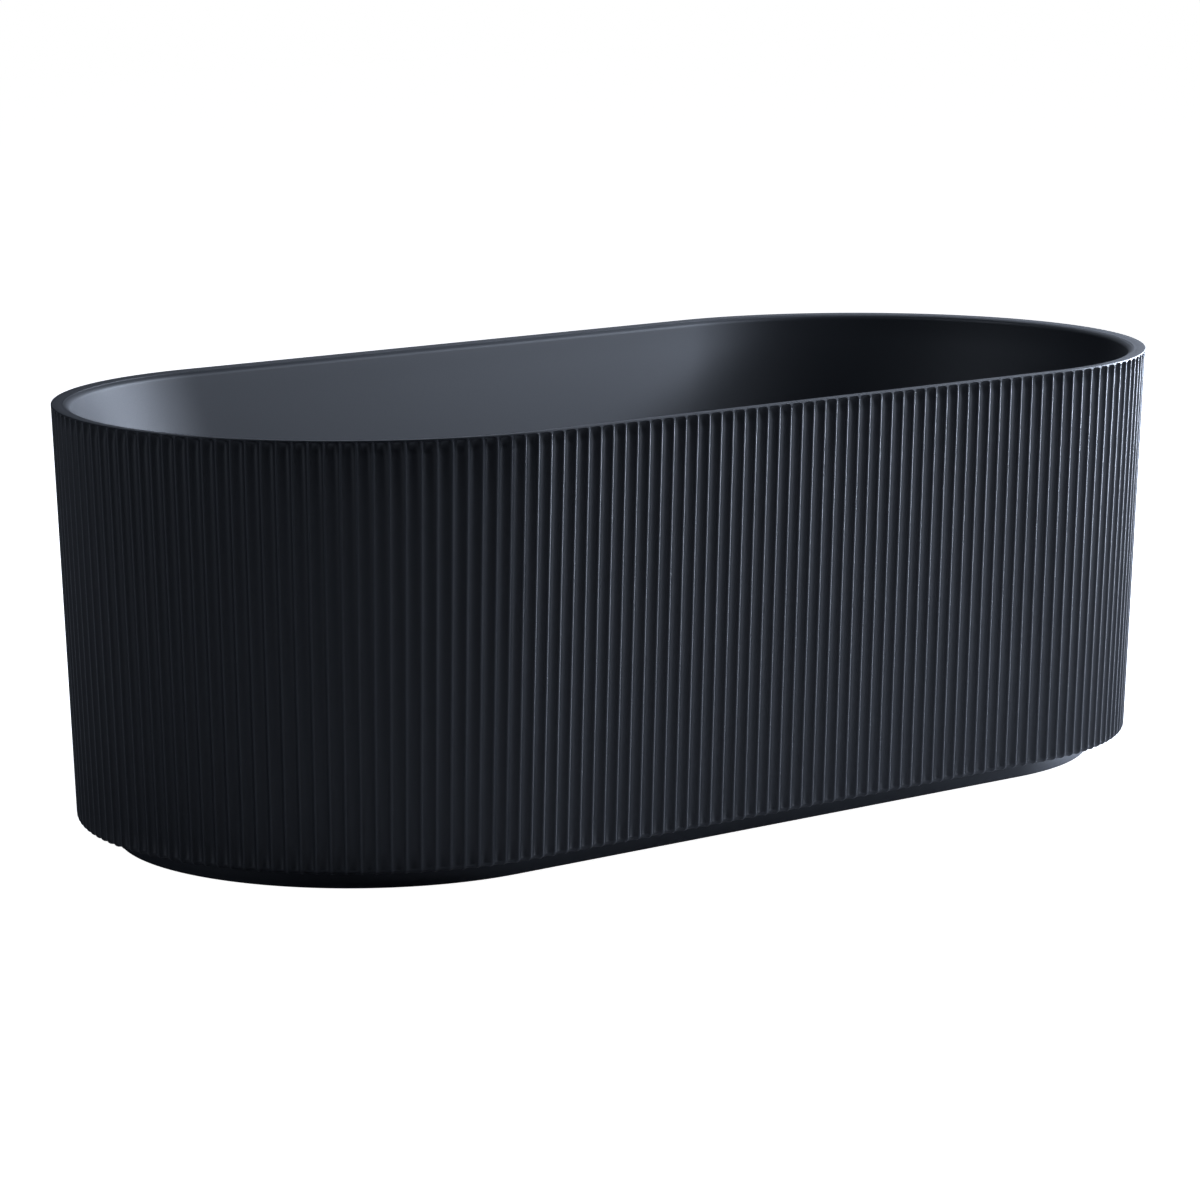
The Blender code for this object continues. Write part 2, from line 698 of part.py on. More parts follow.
def plinth_brackets(bars):
    """An angle at each end of the two end crossbars, screwed to the crossbar and to the plinth."""
    number = 0
    plinth_object = bpy.data.objects["plinth"]
    for bar in ("head", "foot"):
        x = bars[bar].location.x
        for sign in (-1, 1):
            number += 1
            name = f"plinth_bracket_{number}"
            face = PLINTH_INSIDE - GAP
            seat = BAR_TOP + GAP
            tip = END_BAR_LENGTH / 2 - BRACKET_OVERLAP
            bottom = PLINTH_TOP - BRACKET_DROP
            outline = [
                (tip, seat),
                (face - BRACKET_THICKNESS, seat),
                (face - BRACKET_THICKNESS, bottom),
                (face, bottom),
                (face, seat + BRACKET_THICKNESS),
                (tip, seat + BRACKET_THICKNESS),
            ]
            bracket = angle_bracket(name, x, sign, outline)
            hole = SCREW_RADIUS + GAP
            screw_y = sign * (face - BRACKET_THICKNESS - GAP)
            screw_z = PLINTH_TOP - BRACKET_SCREW_DROP
            length = BRACKET_THICKNESS + 2 * GAP + PLINTH_WALL * 0.7
            turn = (sign * math.pi / 2, 0, 0)
            at = (x, screw_y, screw_z)
            screw(f"plinth_screw_{number}", length, ZINC, at, turn)
            depth = 2 * (length + GAP)
            screw_hole(plinth_object, f"plinth_hole_{number}", hole, at, depth, turn)
            screw_hole(bracket, f"bracket_side_hole_{number}", hole, at, depth, turn)
            at = (x, sign * (tip + BRACKET_OVERLAP / 2), seat + BRACKET_THICKNESS + GAP)
            length = BRACKET_THICKNESS + 2 * GAP + TUBE_WALL * 3
            screw(f"crossbar_screw_{number}", length, ZINC, at)
            screw_hole(bracket, f"bracket_top_hole_{number}", hole, at, 2 * length)
            screw_hole(bars[bar], f"bar_top_hole_{number}", hole, at, 2 * length)


def angle_bracket(name, x, sign, outline):
    bm = bmesh.new()
    loops = []
    for end in (-BRACKET_WIDTH / 2, BRACKET_WIDTH / 2):
        loops.append([bm.verts.new((x + end, sign * y, z)) for y, z in outline])
    count = len(outline)
    for step in range(count):
        after = (step + 1) % count
        bm.faces.new((loops[0][step], loops[0][after], loops[1][after], loops[1][step]))
    for loop in loops:
        bm.faces.new(loop)
    return finish(name, bm, ZINC)


# ---------------------------------------------------------------- waste and plug


def waste_body():
    """Flange, threaded tail and the four-spoke hub that carries the cartridge."""
    seat = WASTE_FLANGE_RADIUS - 0.004
    profile = [
        (WASTE_BORE_RADIUS, TAIL_BOTTOM),
        (WASTE_TAIL_RADIUS, TAIL_BOTTOM),
        (WASTE_TAIL_RADIUS, FLANGE_BOTTOM),
        (WASTE_FLANGE_RADIUS, FLANGE_BOTTOM),
        (WASTE_FLANGE_RADIUS, FLANGE_TOP - 0.0008),
        (seat, FLANGE_TOP),
        (WASTE_TAIL_RADIUS, FLANGE_TOP),
        (WASTE_BORE_RADIUS, FLANGE_TOP - 0.0025),
    ]
    body = turned("waste_body", profile, BLACK_METAL)
    hub = turned_mesh(
        [
            (CARTRIDGE_RADIUS + GAP, HUB_TOP - HUB_HEIGHT),
            (HUB_RADIUS, HUB_TOP - HUB_HEIGHT),
            (HUB_RADIUS, HUB_TOP),
            (CARTRIDGE_RADIUS + GAP, HUB_TOP),
        ]
    )
    boolean(body, cutter("waste_hub", hub), "UNION")
    reach = (WASTE_BORE_RADIUS + WASTE_TAIL_RADIUS) / 2
    start = (CARTRIDGE_RADIUS + GAP + HUB_RADIUS) / 2
    for number in range(4):
        low = (start, -SPOKE_WIDTH / 2, HUB_TOP - HUB_HEIGHT + 0.001)
        high = (reach, SPOKE_WIDTH / 2, HUB_TOP - 0.001)
        spoke = box_mesh(low, high)
        turn = Matrix.Rotation(math.pi / 2 * number + math.pi / 4, 4, "Z")
        bmesh.ops.transform(spoke, matrix=turn, verts=spoke.verts)
        boolean(body, cutter(f"waste_spoke_{number + 1}", spoke), "UNION")


def waste_seals_and_nut():
    bore = WASTE_TAIL_RADIUS + GAP
    low = FLOOR_HEIGHT + GAP
    outside = WASTE_FLANGE_RADIUS - 0.0015
    washer("waste_top_gasket", bore, outside, low, low + GASKET_THICKNESS, RUBBER)
    gasket_top = UNDERSIDE - GAP
    gasket_bottom = gasket_top - BOTTOM_GASKET_THICKNESS
    washer("waste_bottom_gasket", bore, WASTE_FLANGE_RADIUS + 0.003, gasket_bottom, gasket_top, RUBBER)
    nut_top = gasket_bottom - GAP
    bottom = nut_top - BACK_NUT_HEIGHT
    nut("waste_back_nut", BACK_NUT_ACROSS_FLATS, bore, bottom, nut_top, BLACK_PLASTIC)


def plug():
    """The cartridge stays in the hub; cap, seal and stem move down together when pressed."""
    slide = joint_empty("plug_slide", (0, 0, FLANGE_TOP))
    stem_bore = STEM_RADIUS + GAP
    lip = CARTRIDGE_TOP - 0.002
    cartridge = [
        (0, CARTRIDGE_BOTTOM),
        (CARTRIDGE_RADIUS, CARTRIDGE_BOTTOM),
        (CARTRIDGE_RADIUS, HUB_TOP + GAP),
        (CARTRIDGE_COLLAR, HUB_TOP + GAP),
        (CARTRIDGE_COLLAR, HUB_TOP + GAP + 0.002),
        (CARTRIDGE_RADIUS, HUB_TOP + GAP + 0.002),
        (CARTRIDGE_RADIUS, CARTRIDGE_TOP),
        (stem_bore, CARTRIDGE_TOP),
        (stem_bore, lip),
        (CARTRIDGE_BORE, lip),
        (CARTRIDGE_BORE, CARTRIDGE_BOTTOM + CARTRIDGE_FLOOR),
        (0, CARTRIDGE_BOTTOM + CARTRIDGE_FLOOR),
    ]
    turned("plug_cartridge", cartridge, WHITE_PLASTIC)
    collar_top = lip - GAP
    collar_bottom = collar_top - STEM_COLLAR_HEIGHT
    stem_top = CAP_UNDERSIDE + STEM_INTO_CAP
    down = FLANGE_TOP
    stem = [
        (0, collar_bottom - down),
        (CARTRIDGE_BORE - GAP, collar_bottom - down),
        (CARTRIDGE_BORE - GAP, collar_top - down),
        (STEM_RADIUS, collar_top - down),
        (STEM_RADIUS, stem_top - down),
        (0, stem_top - down),
    ]
    turned("plug_stem", stem, BRASS, steps=SMALL_ROUND_STEPS, parent=slide)
    cap_top = CAP_UNDERSIDE + PLUG_THICKNESS - down
    under = CAP_UNDERSIDE - down
    cap = [
        (0, under + STEM_INTO_CAP + GAP),
        (stem_bore, under + STEM_INTO_CAP + GAP),
        (stem_bore, under - PLUG_BOSS_HEIGHT),
        (PLUG_BOSS_RADIUS, under - PLUG_BOSS_HEIGHT),
        (PLUG_BOSS_RADIUS, under),
        (PLUG_RADIUS - 0.001, under),
        (PLUG_RADIUS, under + 0.001),
        (PLUG_RADIUS, cap_top - 0.0025),
        (PLUG_RADIUS * 0.94, cap_top - 0.0010),
        (PLUG_RADIUS * 0.70, cap_top - 0.0003),
        (PLUG_RADIUS * 0.30, cap_top),
        (0, cap_top),
    ]
    turned("plug_cap", cap, BLACK_METAL, parent=slide)
    seal_top = under - GAP
    seal = {"finish_values": RUBBER, "parent": slide}
    seal_bottom = seal_top - PLUG_SEAL_THICKNESS
    washer("plug_seal", PLUG_SEAL_BORE, PLUG_SEAL_RADIUS, seal_bottom, seal_top, **seal)
    spring(CARTRIDGE_BOTTOM + CARTRIDGE_FLOOR + GAP, collar_bottom - GAP)


def spring(bottom, top):
    """A compression spring between the cartridge's floor and the stem's collar."""
    bm = bmesh.new()
    wire = SPRING_WIRE / 2
    radius = CARTRIDGE_BORE - wire - GAP
    steps_per_turn, sides = 10, 4
    count = SPRING_TURNS * steps_per_turn
    rise = top - bottom - SPRING_WIRE
    loops = []
    for step in range(count + 1):
        angle = 2 * math.pi * step / steps_per_turn
        height = bottom + wire + rise * step / count
        loop = []
        for side in range(sides):
            around = 2 * math.pi * side / sides
            reach = radius + wire * math.cos(around)
            at = (reach * math.cos(angle), reach * math.sin(angle), height + wire * math.sin(around))
            loop.append((side, bm.verts.new(at)))
        loops.append(loop)
    for first, second in zip(loops, loops[1:]):
        bridge(bm, first, second)
    for end in (loops[0], loops[-1]):
        bm.faces.new([vertex for _, vertex in end])
    finish("plug_spring", bm, STEEL)


# ---------------------------------------------------------------- trap


def trap_inlet():
    inner = WASTE_BORE_RADIUS
    low = TRAP_INLET_TOP + GAP
    washer("trap_washer", inner, TRAP_INLET_FLANGE, low, low + TRAP_WASHER_THICKNESS, RUBBER)
    top = TAIL_BOTTOM + UNION_NUT_ON_TAIL
    thread = WASTE_TAIL_RADIUS + GAP
    profile = [
        (TRAP_NECK_RADIUS + GAP, UNION_NUT_BOTTOM),
        (UNION_NUT_RADIUS, UNION_NUT_BOTTOM),
        (UNION_NUT_RADIUS, top),
        (thread, top),
        (thread, TAIL_BOTTOM + GAP),
        (TRAP_INLET_FLANGE + GAP, TAIL_BOTTOM + GAP),
        (TRAP_INLET_FLANGE + GAP, UNION_NUT_CATCH),
        (TRAP_NECK_RADIUS + GAP, UNION_NUT_CATCH),
    ]
    turned("trap_union_nut", profile, BLACK_PLASTIC)


def trap_body():
    """A shallow bowl under the waste with an outlet spigot towards -X."""
    flange_bottom = TRAP_INLET_TOP - TRAP_INLET_FLANGE_THICKNESS
    bowl_top = TRAP_CLEARANCE + TRAP_BOWL_HEIGHT
    inner_neck = WASTE_BORE_RADIUS
    outer = [
        (0, TRAP_CLEARANCE),
        (TRAP_BOWL_RADIUS - 0.010, TRAP_CLEARANCE),
        (TRAP_BOWL_RADIUS, TRAP_CLEARANCE + 0.010),
        (TRAP_BOWL_RADIUS, bowl_top - 0.006),
        (TRAP_BOWL_RADIUS - 0.006, bowl_top),
        (TRAP_NECK_RADIUS, bowl_top),
        (TRAP_NECK_RADIUS, flange_bottom),
        (TRAP_INLET_FLANGE, flange_bottom),
        (TRAP_INLET_FLANGE, TRAP_INLET_TOP),
        (0, TRAP_INLET_TOP),
    ]
    body = turned("trap_body", outer, BLACK_PLASTIC)
    outlet_height = TRAP_CLEARANCE + TRAP_BOWL_HEIGHT / 2 + 0.002
    spigot = turned_mesh(
        [(0, OUTLET_LENGTH), (OUTLET_RADIUS, OUTLET_LENGTH), (OUTLET_RADIUS, 0.02), (0, 0.02)]
    )
    lie = Matrix.Rotation(-math.pi / 2, 4, "Y")
    bmesh.ops.transform(spigot, matrix=lie, verts=spigot.verts)
    boolean(body, cutter("trap_spigot", spigot, (0, 0, outlet_height)), "UNION")
    hollow = [
        (0, TRAP_CLEARANCE + TRAP_WALL),
        (TRAP_BOWL_RADIUS - 0.011, TRAP_CLEARANCE + TRAP_WALL),
        (TRAP_BOWL_RADIUS - TRAP_WALL, TRAP_CLEARANCE + 0.011),
        (TRAP_BOWL_RADIUS - TRAP_WALL, bowl_top - 0.007),
        (TRAP_BOWL_RADIUS - 0.007, bowl_top - TRAP_WALL),
        (inner_neck, bowl_top - TRAP_WALL),
        (inner_neck, TRAP_INLET_TOP + 0.010),
        (0, TRAP_INLET_TOP + 0.010),
    ]
    boolean(body, cutter("trap_hollow", turned_mesh(hollow)))
    bore_radius = OUTLET_RADIUS - TRAP_WALL
    end = OUTLET_LENGTH + 0.010
    bore = turned_mesh([(0, end), (bore_radius, end), (bore_radius, 0.010), (0, 0.010)])
    bmesh.ops.transform(bore, matrix=lie, verts=bore.verts)
    boolean(body, cutter("trap_bore", bore, (0, 0, outlet_height)))
    lie_down = (0, -math.pi / 2, 0)
    start = OUTLET_LENGTH - OUTLET_NUT_LENGTH * 0.7
    thread = OUTLET_RADIUS + GAP
    seal_start = start + OUTLET_NUT_LENGTH * 0.3
    nut_end = start + OUTLET_NUT_LENGTH
    lip = OUTLET_RADIUS - 0.002
    seal_end = OUTLET_LENGTH + OUTLET_SEAL_LENGTH + GAP
    profile = [
        (thread, start),
        (OUTLET_NUT_RADIUS, start),
        (OUTLET_NUT_RADIUS, nut_end),
        (lip, nut_end),
        (lip, seal_end + GAP),
        (thread, seal_end + GAP),
    ]
    at = (0, 0, outlet_height)
    turned("trap_outlet_nut", profile, BLACK_PLASTIC, at, turn=lie_down)
    seal = [
        (bore_radius, OUTLET_LENGTH + GAP),
        (OUTLET_RADIUS, OUTLET_LENGTH + GAP),
        (OUTLET_RADIUS, seal_end),
        (bore_radius, seal_end),
    ]
    turned("trap_outlet_seal", seal, RUBBER, at, turn=lie_down)


def main():
    clear_scene()
    basin_shell()
    outer_skirt()
    plinth()
    rim_bond_strip()
    frame_and_feet()
    waste_body()
    waste_seals_and_nut()
    plug()
    trap_inlet()
    trap_body()


main()
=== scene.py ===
"""Looks of the fluted bathtub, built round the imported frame. Metres, +Z up, +X along the tub."""

import json
import math

import bmesh
import bpy
from mathutils import Matrix, Vector


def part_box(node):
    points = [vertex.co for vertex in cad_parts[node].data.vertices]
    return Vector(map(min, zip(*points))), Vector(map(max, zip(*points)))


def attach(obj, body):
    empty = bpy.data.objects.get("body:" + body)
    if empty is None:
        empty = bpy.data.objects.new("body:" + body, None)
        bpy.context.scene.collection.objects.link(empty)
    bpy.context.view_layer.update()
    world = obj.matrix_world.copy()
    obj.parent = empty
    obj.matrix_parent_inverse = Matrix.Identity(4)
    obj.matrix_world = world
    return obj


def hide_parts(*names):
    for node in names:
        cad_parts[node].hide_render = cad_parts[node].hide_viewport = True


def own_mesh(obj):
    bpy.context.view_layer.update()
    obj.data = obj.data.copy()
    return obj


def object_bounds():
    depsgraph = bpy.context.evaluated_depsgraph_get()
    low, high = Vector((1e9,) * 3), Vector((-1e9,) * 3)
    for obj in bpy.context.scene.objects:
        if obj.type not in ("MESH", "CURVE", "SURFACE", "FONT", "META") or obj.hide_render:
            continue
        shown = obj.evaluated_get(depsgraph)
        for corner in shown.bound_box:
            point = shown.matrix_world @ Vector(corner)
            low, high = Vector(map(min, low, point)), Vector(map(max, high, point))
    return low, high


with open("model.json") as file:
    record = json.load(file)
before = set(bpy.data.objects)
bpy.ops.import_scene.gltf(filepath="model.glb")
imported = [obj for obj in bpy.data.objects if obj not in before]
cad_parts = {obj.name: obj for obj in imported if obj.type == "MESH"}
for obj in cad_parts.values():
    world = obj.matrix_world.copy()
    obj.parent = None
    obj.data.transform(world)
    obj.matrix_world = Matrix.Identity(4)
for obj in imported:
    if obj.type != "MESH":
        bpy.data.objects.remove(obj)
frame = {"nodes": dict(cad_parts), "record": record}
CAD_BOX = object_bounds()
NODES = frame["nodes"]
TUB = "tub"

# ---------------------------------------------------------------- sizes
# Overall sizes come from the frame. The rest repeats what the CAD source says.

TUB_LOW, TUB_HIGH = CAD_BOX
LENGTH = TUB_HIGH.x - TUB_LOW.x
WIDTH = TUB_HIGH.y - TUB_LOW.y
HEIGHT = TUB_HIGH.z
STRAIGHT = (LENGTH - WIDTH) / 2
RADIUS = WIDTH / 2
PERIMETER = 4 * STRAIGHT + 2 * math.pi * RADIUS

RIM_WIDTH = 0.025
LIP = 0.0013  # height of the plain edge above the grooves
RIM_OUTER_ROUND = 0.0011
RIM_INNER_ROUND = 0.009
RIM_FALL = 0.0016  # of its top, inwards
SHELL = 0.006
FLOOR_HEIGHT = 0.134
FLOOR_THICKNESS = 0.007
FLOOR_FALL = 0.004
WALL_FOOT_RISE = 0.120
SIDE_INSET_AT_WALL_FOOT, END_INSET_AT_WALL_FOOT = 0.080, 0.150
SIDE_INSET_AT_FLOOR, END_INSET_AT_FLOOR = 0.190, 0.300
UNDERSIDE = FLOOR_HEIGHT - FLOOR_THICKNESS
DRAIN_RADIUS = 0.0262
DRAIN_SEAT_RADIUS = 0.045

SKIRT_BOTTOM = 0.030
SKIRT_TAPER = 0.022
SKIRT_WALL = 0.010
SKIRT_EDGE = 0.008
SKIRT_RETURN = 0.006
FLUTE_PITCH = 0.020  # before it is rounded to a whole number of flutes
FLUTES = 4 * round(PERIMETER / 4 / FLUTE_PITCH)
FLUTE_DEPTH = 0.0045
RIDGE_HALF = 0.0019
ARCH_RISE = 0.0046  # of a groove's head, from mid-groove to its ridge
HEAD_LEAST, HEAD_COVE = 0.0004, 0.0048  # height of a groove's head at a ridge, and mid-groove
HEAD_DEPTH = 1.6  # of the groove's own depth
# (fall, depth share) of the rows in a groove's head
HEAD_ROWS = ((0.0, 0.0), (0.05, 0.50), (0.20, 1.00), (0.52, 1.42), (1.0, HEAD_DEPTH))
DEPTH_BELOW_HEAD, DEPTH_FADE = 0.65, 0.2  # share of the extra depth left, and then at each row
DEPTH_UNDER_EDGE = 0.20  # share of the depth left under the skirt's bottom edge
UNDER_EDGE_STEP = 0.0035
RIDGE_WEAR_AND_HIGHLIGHT_DEPTH = 0.0009  # how far down a ridge its wear and painted highlight reach
PLINTH_INSET = 0.075
PLINTH_WALL = 0.012
GAP = 0.0003
ARC_STEPS, SIDE_STEPS = 96, 24  # round an end and along a side
BOARD_HOLE_RADIUS = 0.050
TUBE_WALL = 0.002
TUBE_CORNER = 0.0028
BRACKET_THICKNESS = 0.003
BRACKET_BEND = 0.0045
SCREW_RADIUS = 0.0022
SCREW_HEAD_RADIUS = 0.0045
SCREW_HEAD_HEIGHT = 0.0026
SCREW_PITCH = 0.0011
SCREW_HOLE = SCREW_RADIUS + GAP
HEAD_HOLE = SCREW_HEAD_RADIUS + 0.0006  # in a rail's lower wall
DRILL = 0.005  # reach of a drill either side of a tube's face
INSERT_RADIUS = 0.0068
INSERT_FLANGE = 0.010
SOCKET_RADIUS = 0.0053  # round a foot's stud
STUD_RADIUS = 0.0049
STUD_PITCH = 0.002
LOCK_NUT_ACROSS_FLATS = 0.017
BACK_NUT_ACROSS_FLATS = 0.066
TAIL_RADIUS, BORE_RADIUS, FLANGE_RADIUS = 0.0239, 0.0205, 0.035
TAIL_PITCH = 0.0022
HUB_RADIUS, HUB_BORE, HUB_HEIGHT, HUB_DEPTH = 0.0118, 0.0088, 0.007, 0.022
TRAP_NECK_RADIUS = 0.0255
TRAP_FLANGE_RADIUS, TRAP_FLANGE_THICKNESS = 0.0285, 0.004
UNION_NUT_RADIUS = 0.0345
BOWL_SHARE = 0.70547  # of the height under the union nut

# ---------------------------------------------------------------- camera and light

CAMERA_LENS = 135.99
CAMERA_AT = (-3.95487, -4.72619, 1.35742)
CAMERA_YAW, CAMERA_PITCH, CAMERA_ROLL = 0.69153189, 0.17621160, -0.00236529


def camera():
    data = bpy.data.cameras.new("camera")
    data.sensor_width = 36.0
    data.lens = CAMERA_LENS
    data.clip_start, data.clip_end = 0.1, 100.0
    obj = bpy.data.objects.new("camera", data)
    bpy.context.scene.collection.objects.link(obj)
    yaw, pitch, roll = CAMERA_YAW, CAMERA_PITCH, CAMERA_ROLL
    flat = math.cos(pitch)
    forward = Vector((math.sin(yaw) * flat, math.cos(yaw) * flat, -math.sin(pitch)))
    level = Vector((math.cos(yaw), -math.sin(yaw), 0))
    upright = level.cross(forward)
    right = level * math.cos(roll) + upright * math.sin(roll)
    up = upright * math.cos(roll) - level * math.sin(roll)
    turn = Matrix((right, up, -forward)).transposed().to_4x4()
    obj.matrix_world = Matrix.Translation(CAMERA_AT) @ turn
    bpy.context.scene.camera = obj


def softbox(name, at, size, watts):
    """An area light that faces the tub."""
    data = bpy.data.lights.new(name, "AREA")
    data.shape = "RECTANGLE"
    data.size, data.size_y = size
    data.energy = watts
    data.color = LIGHT_COLOUR
    obj = bpy.data.objects.new(name, data)
    bpy.context.scene.collection.objects.link(obj)
    obj.location = at
    obj.rotation_mode = "QUATERNION"
    obj.rotation_quaternion = (Vector(LIGHT_AIM) - at).to_track_quat("-Z", "Y")


LIGHT_DISTANCE = 4.0
LIGHT_AIM = (0.0, 0.0, 0.35)
LIGHT_COLOUR = (0.81, 0.91, 1.10)
FLOOR_REACH = 14.0
WIDE, NARROW, LOW = (1.9, 1.5), (0.8, 0.8), (0.8, 0.5)
# (name, azimuth from +X, elevation, watts, size)
SOFTBOXES = [
    ("key", -8, 20, 200, NARROW),
    ("key_low", -9, 1, 215, LOW),
    ("edge_low", 6, 1, 80, LOW),
    ("key_side", -39.6, 12, 38, WIDE),
    ("key_high", -39.6, 34, 34, WIDE),
    ("right_back", 20.4, 8, 22, WIDE),
    ("right_back_high", 20.4, 30, 18, WIDE),
    ("back", 50.4, 8, 5, WIDE),
    ("back_high", 50.4, 30, 7, WIDE),
    ("left_high", 140.4, 60, 33, WIDE),
    ("left_low", 170.4, 8, 9, WIDE),
]


def shown_to_camera(tree, seen, unseen=None):
    """The surface is one shader to the camera and the other, or nothing, to all other rays."""
    out = next(node for node in tree.nodes if node.type.startswith("OUTPUT"))
    mix = tree.nodes.new("ShaderNodeMixShader")
    path = tree.nodes.new("ShaderNodeLightPath")
    tree.links.new(path.outputs["Is Camera Ray"], mix.inputs[0])
    if unseen:
        tree.links.new(unseen.outputs[0], mix.inputs[1])
    tree.links.new(seen.outputs[0], mix.inputs[2])
    tree.links.new(mix.outputs[0], out.inputs["Surface"])


def lights():
    for name, azimuth, elevation, watts, size in SOFTBOXES:
        around, up = math.radians(azimuth), math.radians(elevation)
        away = (math.cos(around) * math.cos(up), math.sin(around) * math.cos(up), math.sin(up))
        at = Vector(LIGHT_AIM) + LIGHT_DISTANCE * Vector(away)
        softbox(name, at, size, watts)
    world = bpy.data.worlds.new("studio")
    bpy.context.scene.world = world
    world.use_nodes = True
    tree = world.node_tree
    tree.nodes.clear()
    tree.nodes.new("ShaderNodeOutputWorld")
    white = tree.nodes.new("ShaderNodeBackground")
    white.inputs["Color"].default_value = (1, 1, 1, 1)
    white.inputs["Strength"].default_value = 1.0
    shown_to_camera(tree, white)
    bpy.context.scene.view_settings.view_transform = "Standard"


def stage_floor():
    """A plain floor just under the feet, white to the camera and half as bright to the tub."""
    bm = bmesh.new()
    bmesh.ops.create_grid(bm, x_segments=8, y_segments=8, size=FLOOR_REACH)
    mesh = bpy.data.meshes.new("floor")
    bm.to_mesh(mesh)
    bm.free()
    floor = bpy.data.objects.new("floor", mesh)
    bpy.context.scene.collection.objects.link(floor)
    floor.location.z = -0.0002
    made = bpy.data.materials.new("floor")
    made.use_nodes = True
    tree = made.node_tree
    tree.nodes.clear()
    tree.nodes.new("ShaderNodeOutputMaterial")
    paint = tree.nodes.new("ShaderNodeBsdfDiffuse")
    paint.inputs["Color"].default_value = (0.9, 0.9, 0.9, 1)
    glow = tree.nodes.new("ShaderNodeEmission")
    glow.inputs["Strength"].default_value = 1.0
    both = tree.nodes.new("ShaderNodeAddShader")
    tree.links.new(paint.outputs[0], both.inputs[0])
    tree.links.new(glow.outputs[0], both.inputs[1])
    dim = tree.nodes.new("ShaderNodeBsdfDiffuse")
    dim.inputs["Color"].default_value = (0.50, 0.50, 0.51, 1)
    shown_to_camera(tree, both, dim)
    mesh.materials.append(made)


# ---------------------------------------------------------------- materials


class Nodes:
    """A Principled material that is put together node by node."""

    def __init__(self, name):
        self.material = bpy.data.materials.new(name)
        self.material.use_nodes = True
        self.tree = self.material.node_tree
        self.shader = self.tree.nodes["Principled BSDF"]
        self.place = self.add("TexCoord").outputs["Object"]

    def add(self, kind, **settings):
        node = self.tree.nodes.new(f"ShaderNode{kind}")
        for key, value in settings.items():
            setattr(node, key, value)
        return node

    def link(self, source, target):
        self.tree.links.new(source, target)

    def set(self, **values):
        for name, value in values.items():
            self.shader.inputs[name.replace("_", " ")].default_value = value

    def stretched(self, scale):
        node = self.add("Mapping")
        node.inputs["Scale"].default_value = scale
        self.link(self.place, node.inputs["Vector"])
        return node.outputs[0]

    def noise(self, scale, detail=2.0, roughness=0.5, stretch=None, distortion=0.0):
        node = self.add("TexNoise")
        node.inputs["Scale"].default_value = scale
        node.inputs["Detail"].default_value = detail
        node.inputs["Roughness"].default_value = roughness
        node.inputs["Distortion"].default_value = distortion
        self.link(self.stretched(stretch) if stretch else self.place, node.inputs["Vector"])
        return node.outputs[0]

    def cells(self, scale, output="Distance", stretch=None):
        node = self.add("TexVoronoi")
        node.inputs["Scale"].default_value = scale
        self.link(self.stretched(stretch) if stretch else self.place, node.inputs["Vector"])
        return node.outputs[output]

    def span(self, source, low, high, from_low=0.3, from_high=0.7):
        node = self.add("MapRange")
        self.link(source, node.inputs["Value"])
        for key, value in (
            ("From Min", from_low),
            ("From Max", from_high),
            ("To Min", low),
            ("To Max", high),
        ):
            node.inputs[key].default_value = value
        return node.outputs[0]

    def maths(self, operation, first, second):
        node = self.add("Math", operation=operation)
        for index, value in enumerate((first, second)):
            if isinstance(value, (int, float)):
                node.inputs[index].default_value = value
            else:
                self.link(value, node.inputs[index])
        return node.outputs[0]

    def ramp(self, source, stops):
        node = self.add("ValToRGB")
        ramp = node.color_ramp
        ramp.elements[0].position, ramp.elements[-1].position = stops[0][0], stops[-1][0]
        for position, _ in stops[1:-1]:
            ramp.elements.new(position)
        for element, (_, colour) in zip(ramp.elements, stops):
            element.color = (*colour, 1)
        self.link(source, node.inputs[0])
        return node.outputs["Color"]

    def mix(self, share, first, second):
        node = self.add("Mix", data_type="RGBA")
        for index, value in ((0, share), (6, first), (7, second)):
            if isinstance(value, (int, float)):
                node.inputs[index].default_value = value
            elif isinstance(value, tuple):
                node.inputs[index].default_value = (*value, 1)
            else:
                self.link(value, node.inputs[index])
        return node.outputs[2]

    def colour(self, source):
        self.link(source, self.shader.inputs["Base Color"])

    def roughness(self, source):
        self.link(source, self.shader.inputs["Roughness"])

    def bump(self, layers):
        """Each layer is (height source, depth in metres, strength)."""
        normal = None
        for source, depth, strength in layers:
            node = self.add("Bump")
            node.inputs["Distance"].default_value = depth
            node.inputs["Strength"].default_value = strength
            self.link(source, node.inputs["Height"])
            if normal:
                self.link(normal, node.inputs["Normal"])
            normal = node.outputs[0]
        self.link(normal, self.shader.inputs["Normal"])


ACRYLIC = ((0.0158, 0.0176, 0.0215), (0.0194, 0.0216, 0.0262))


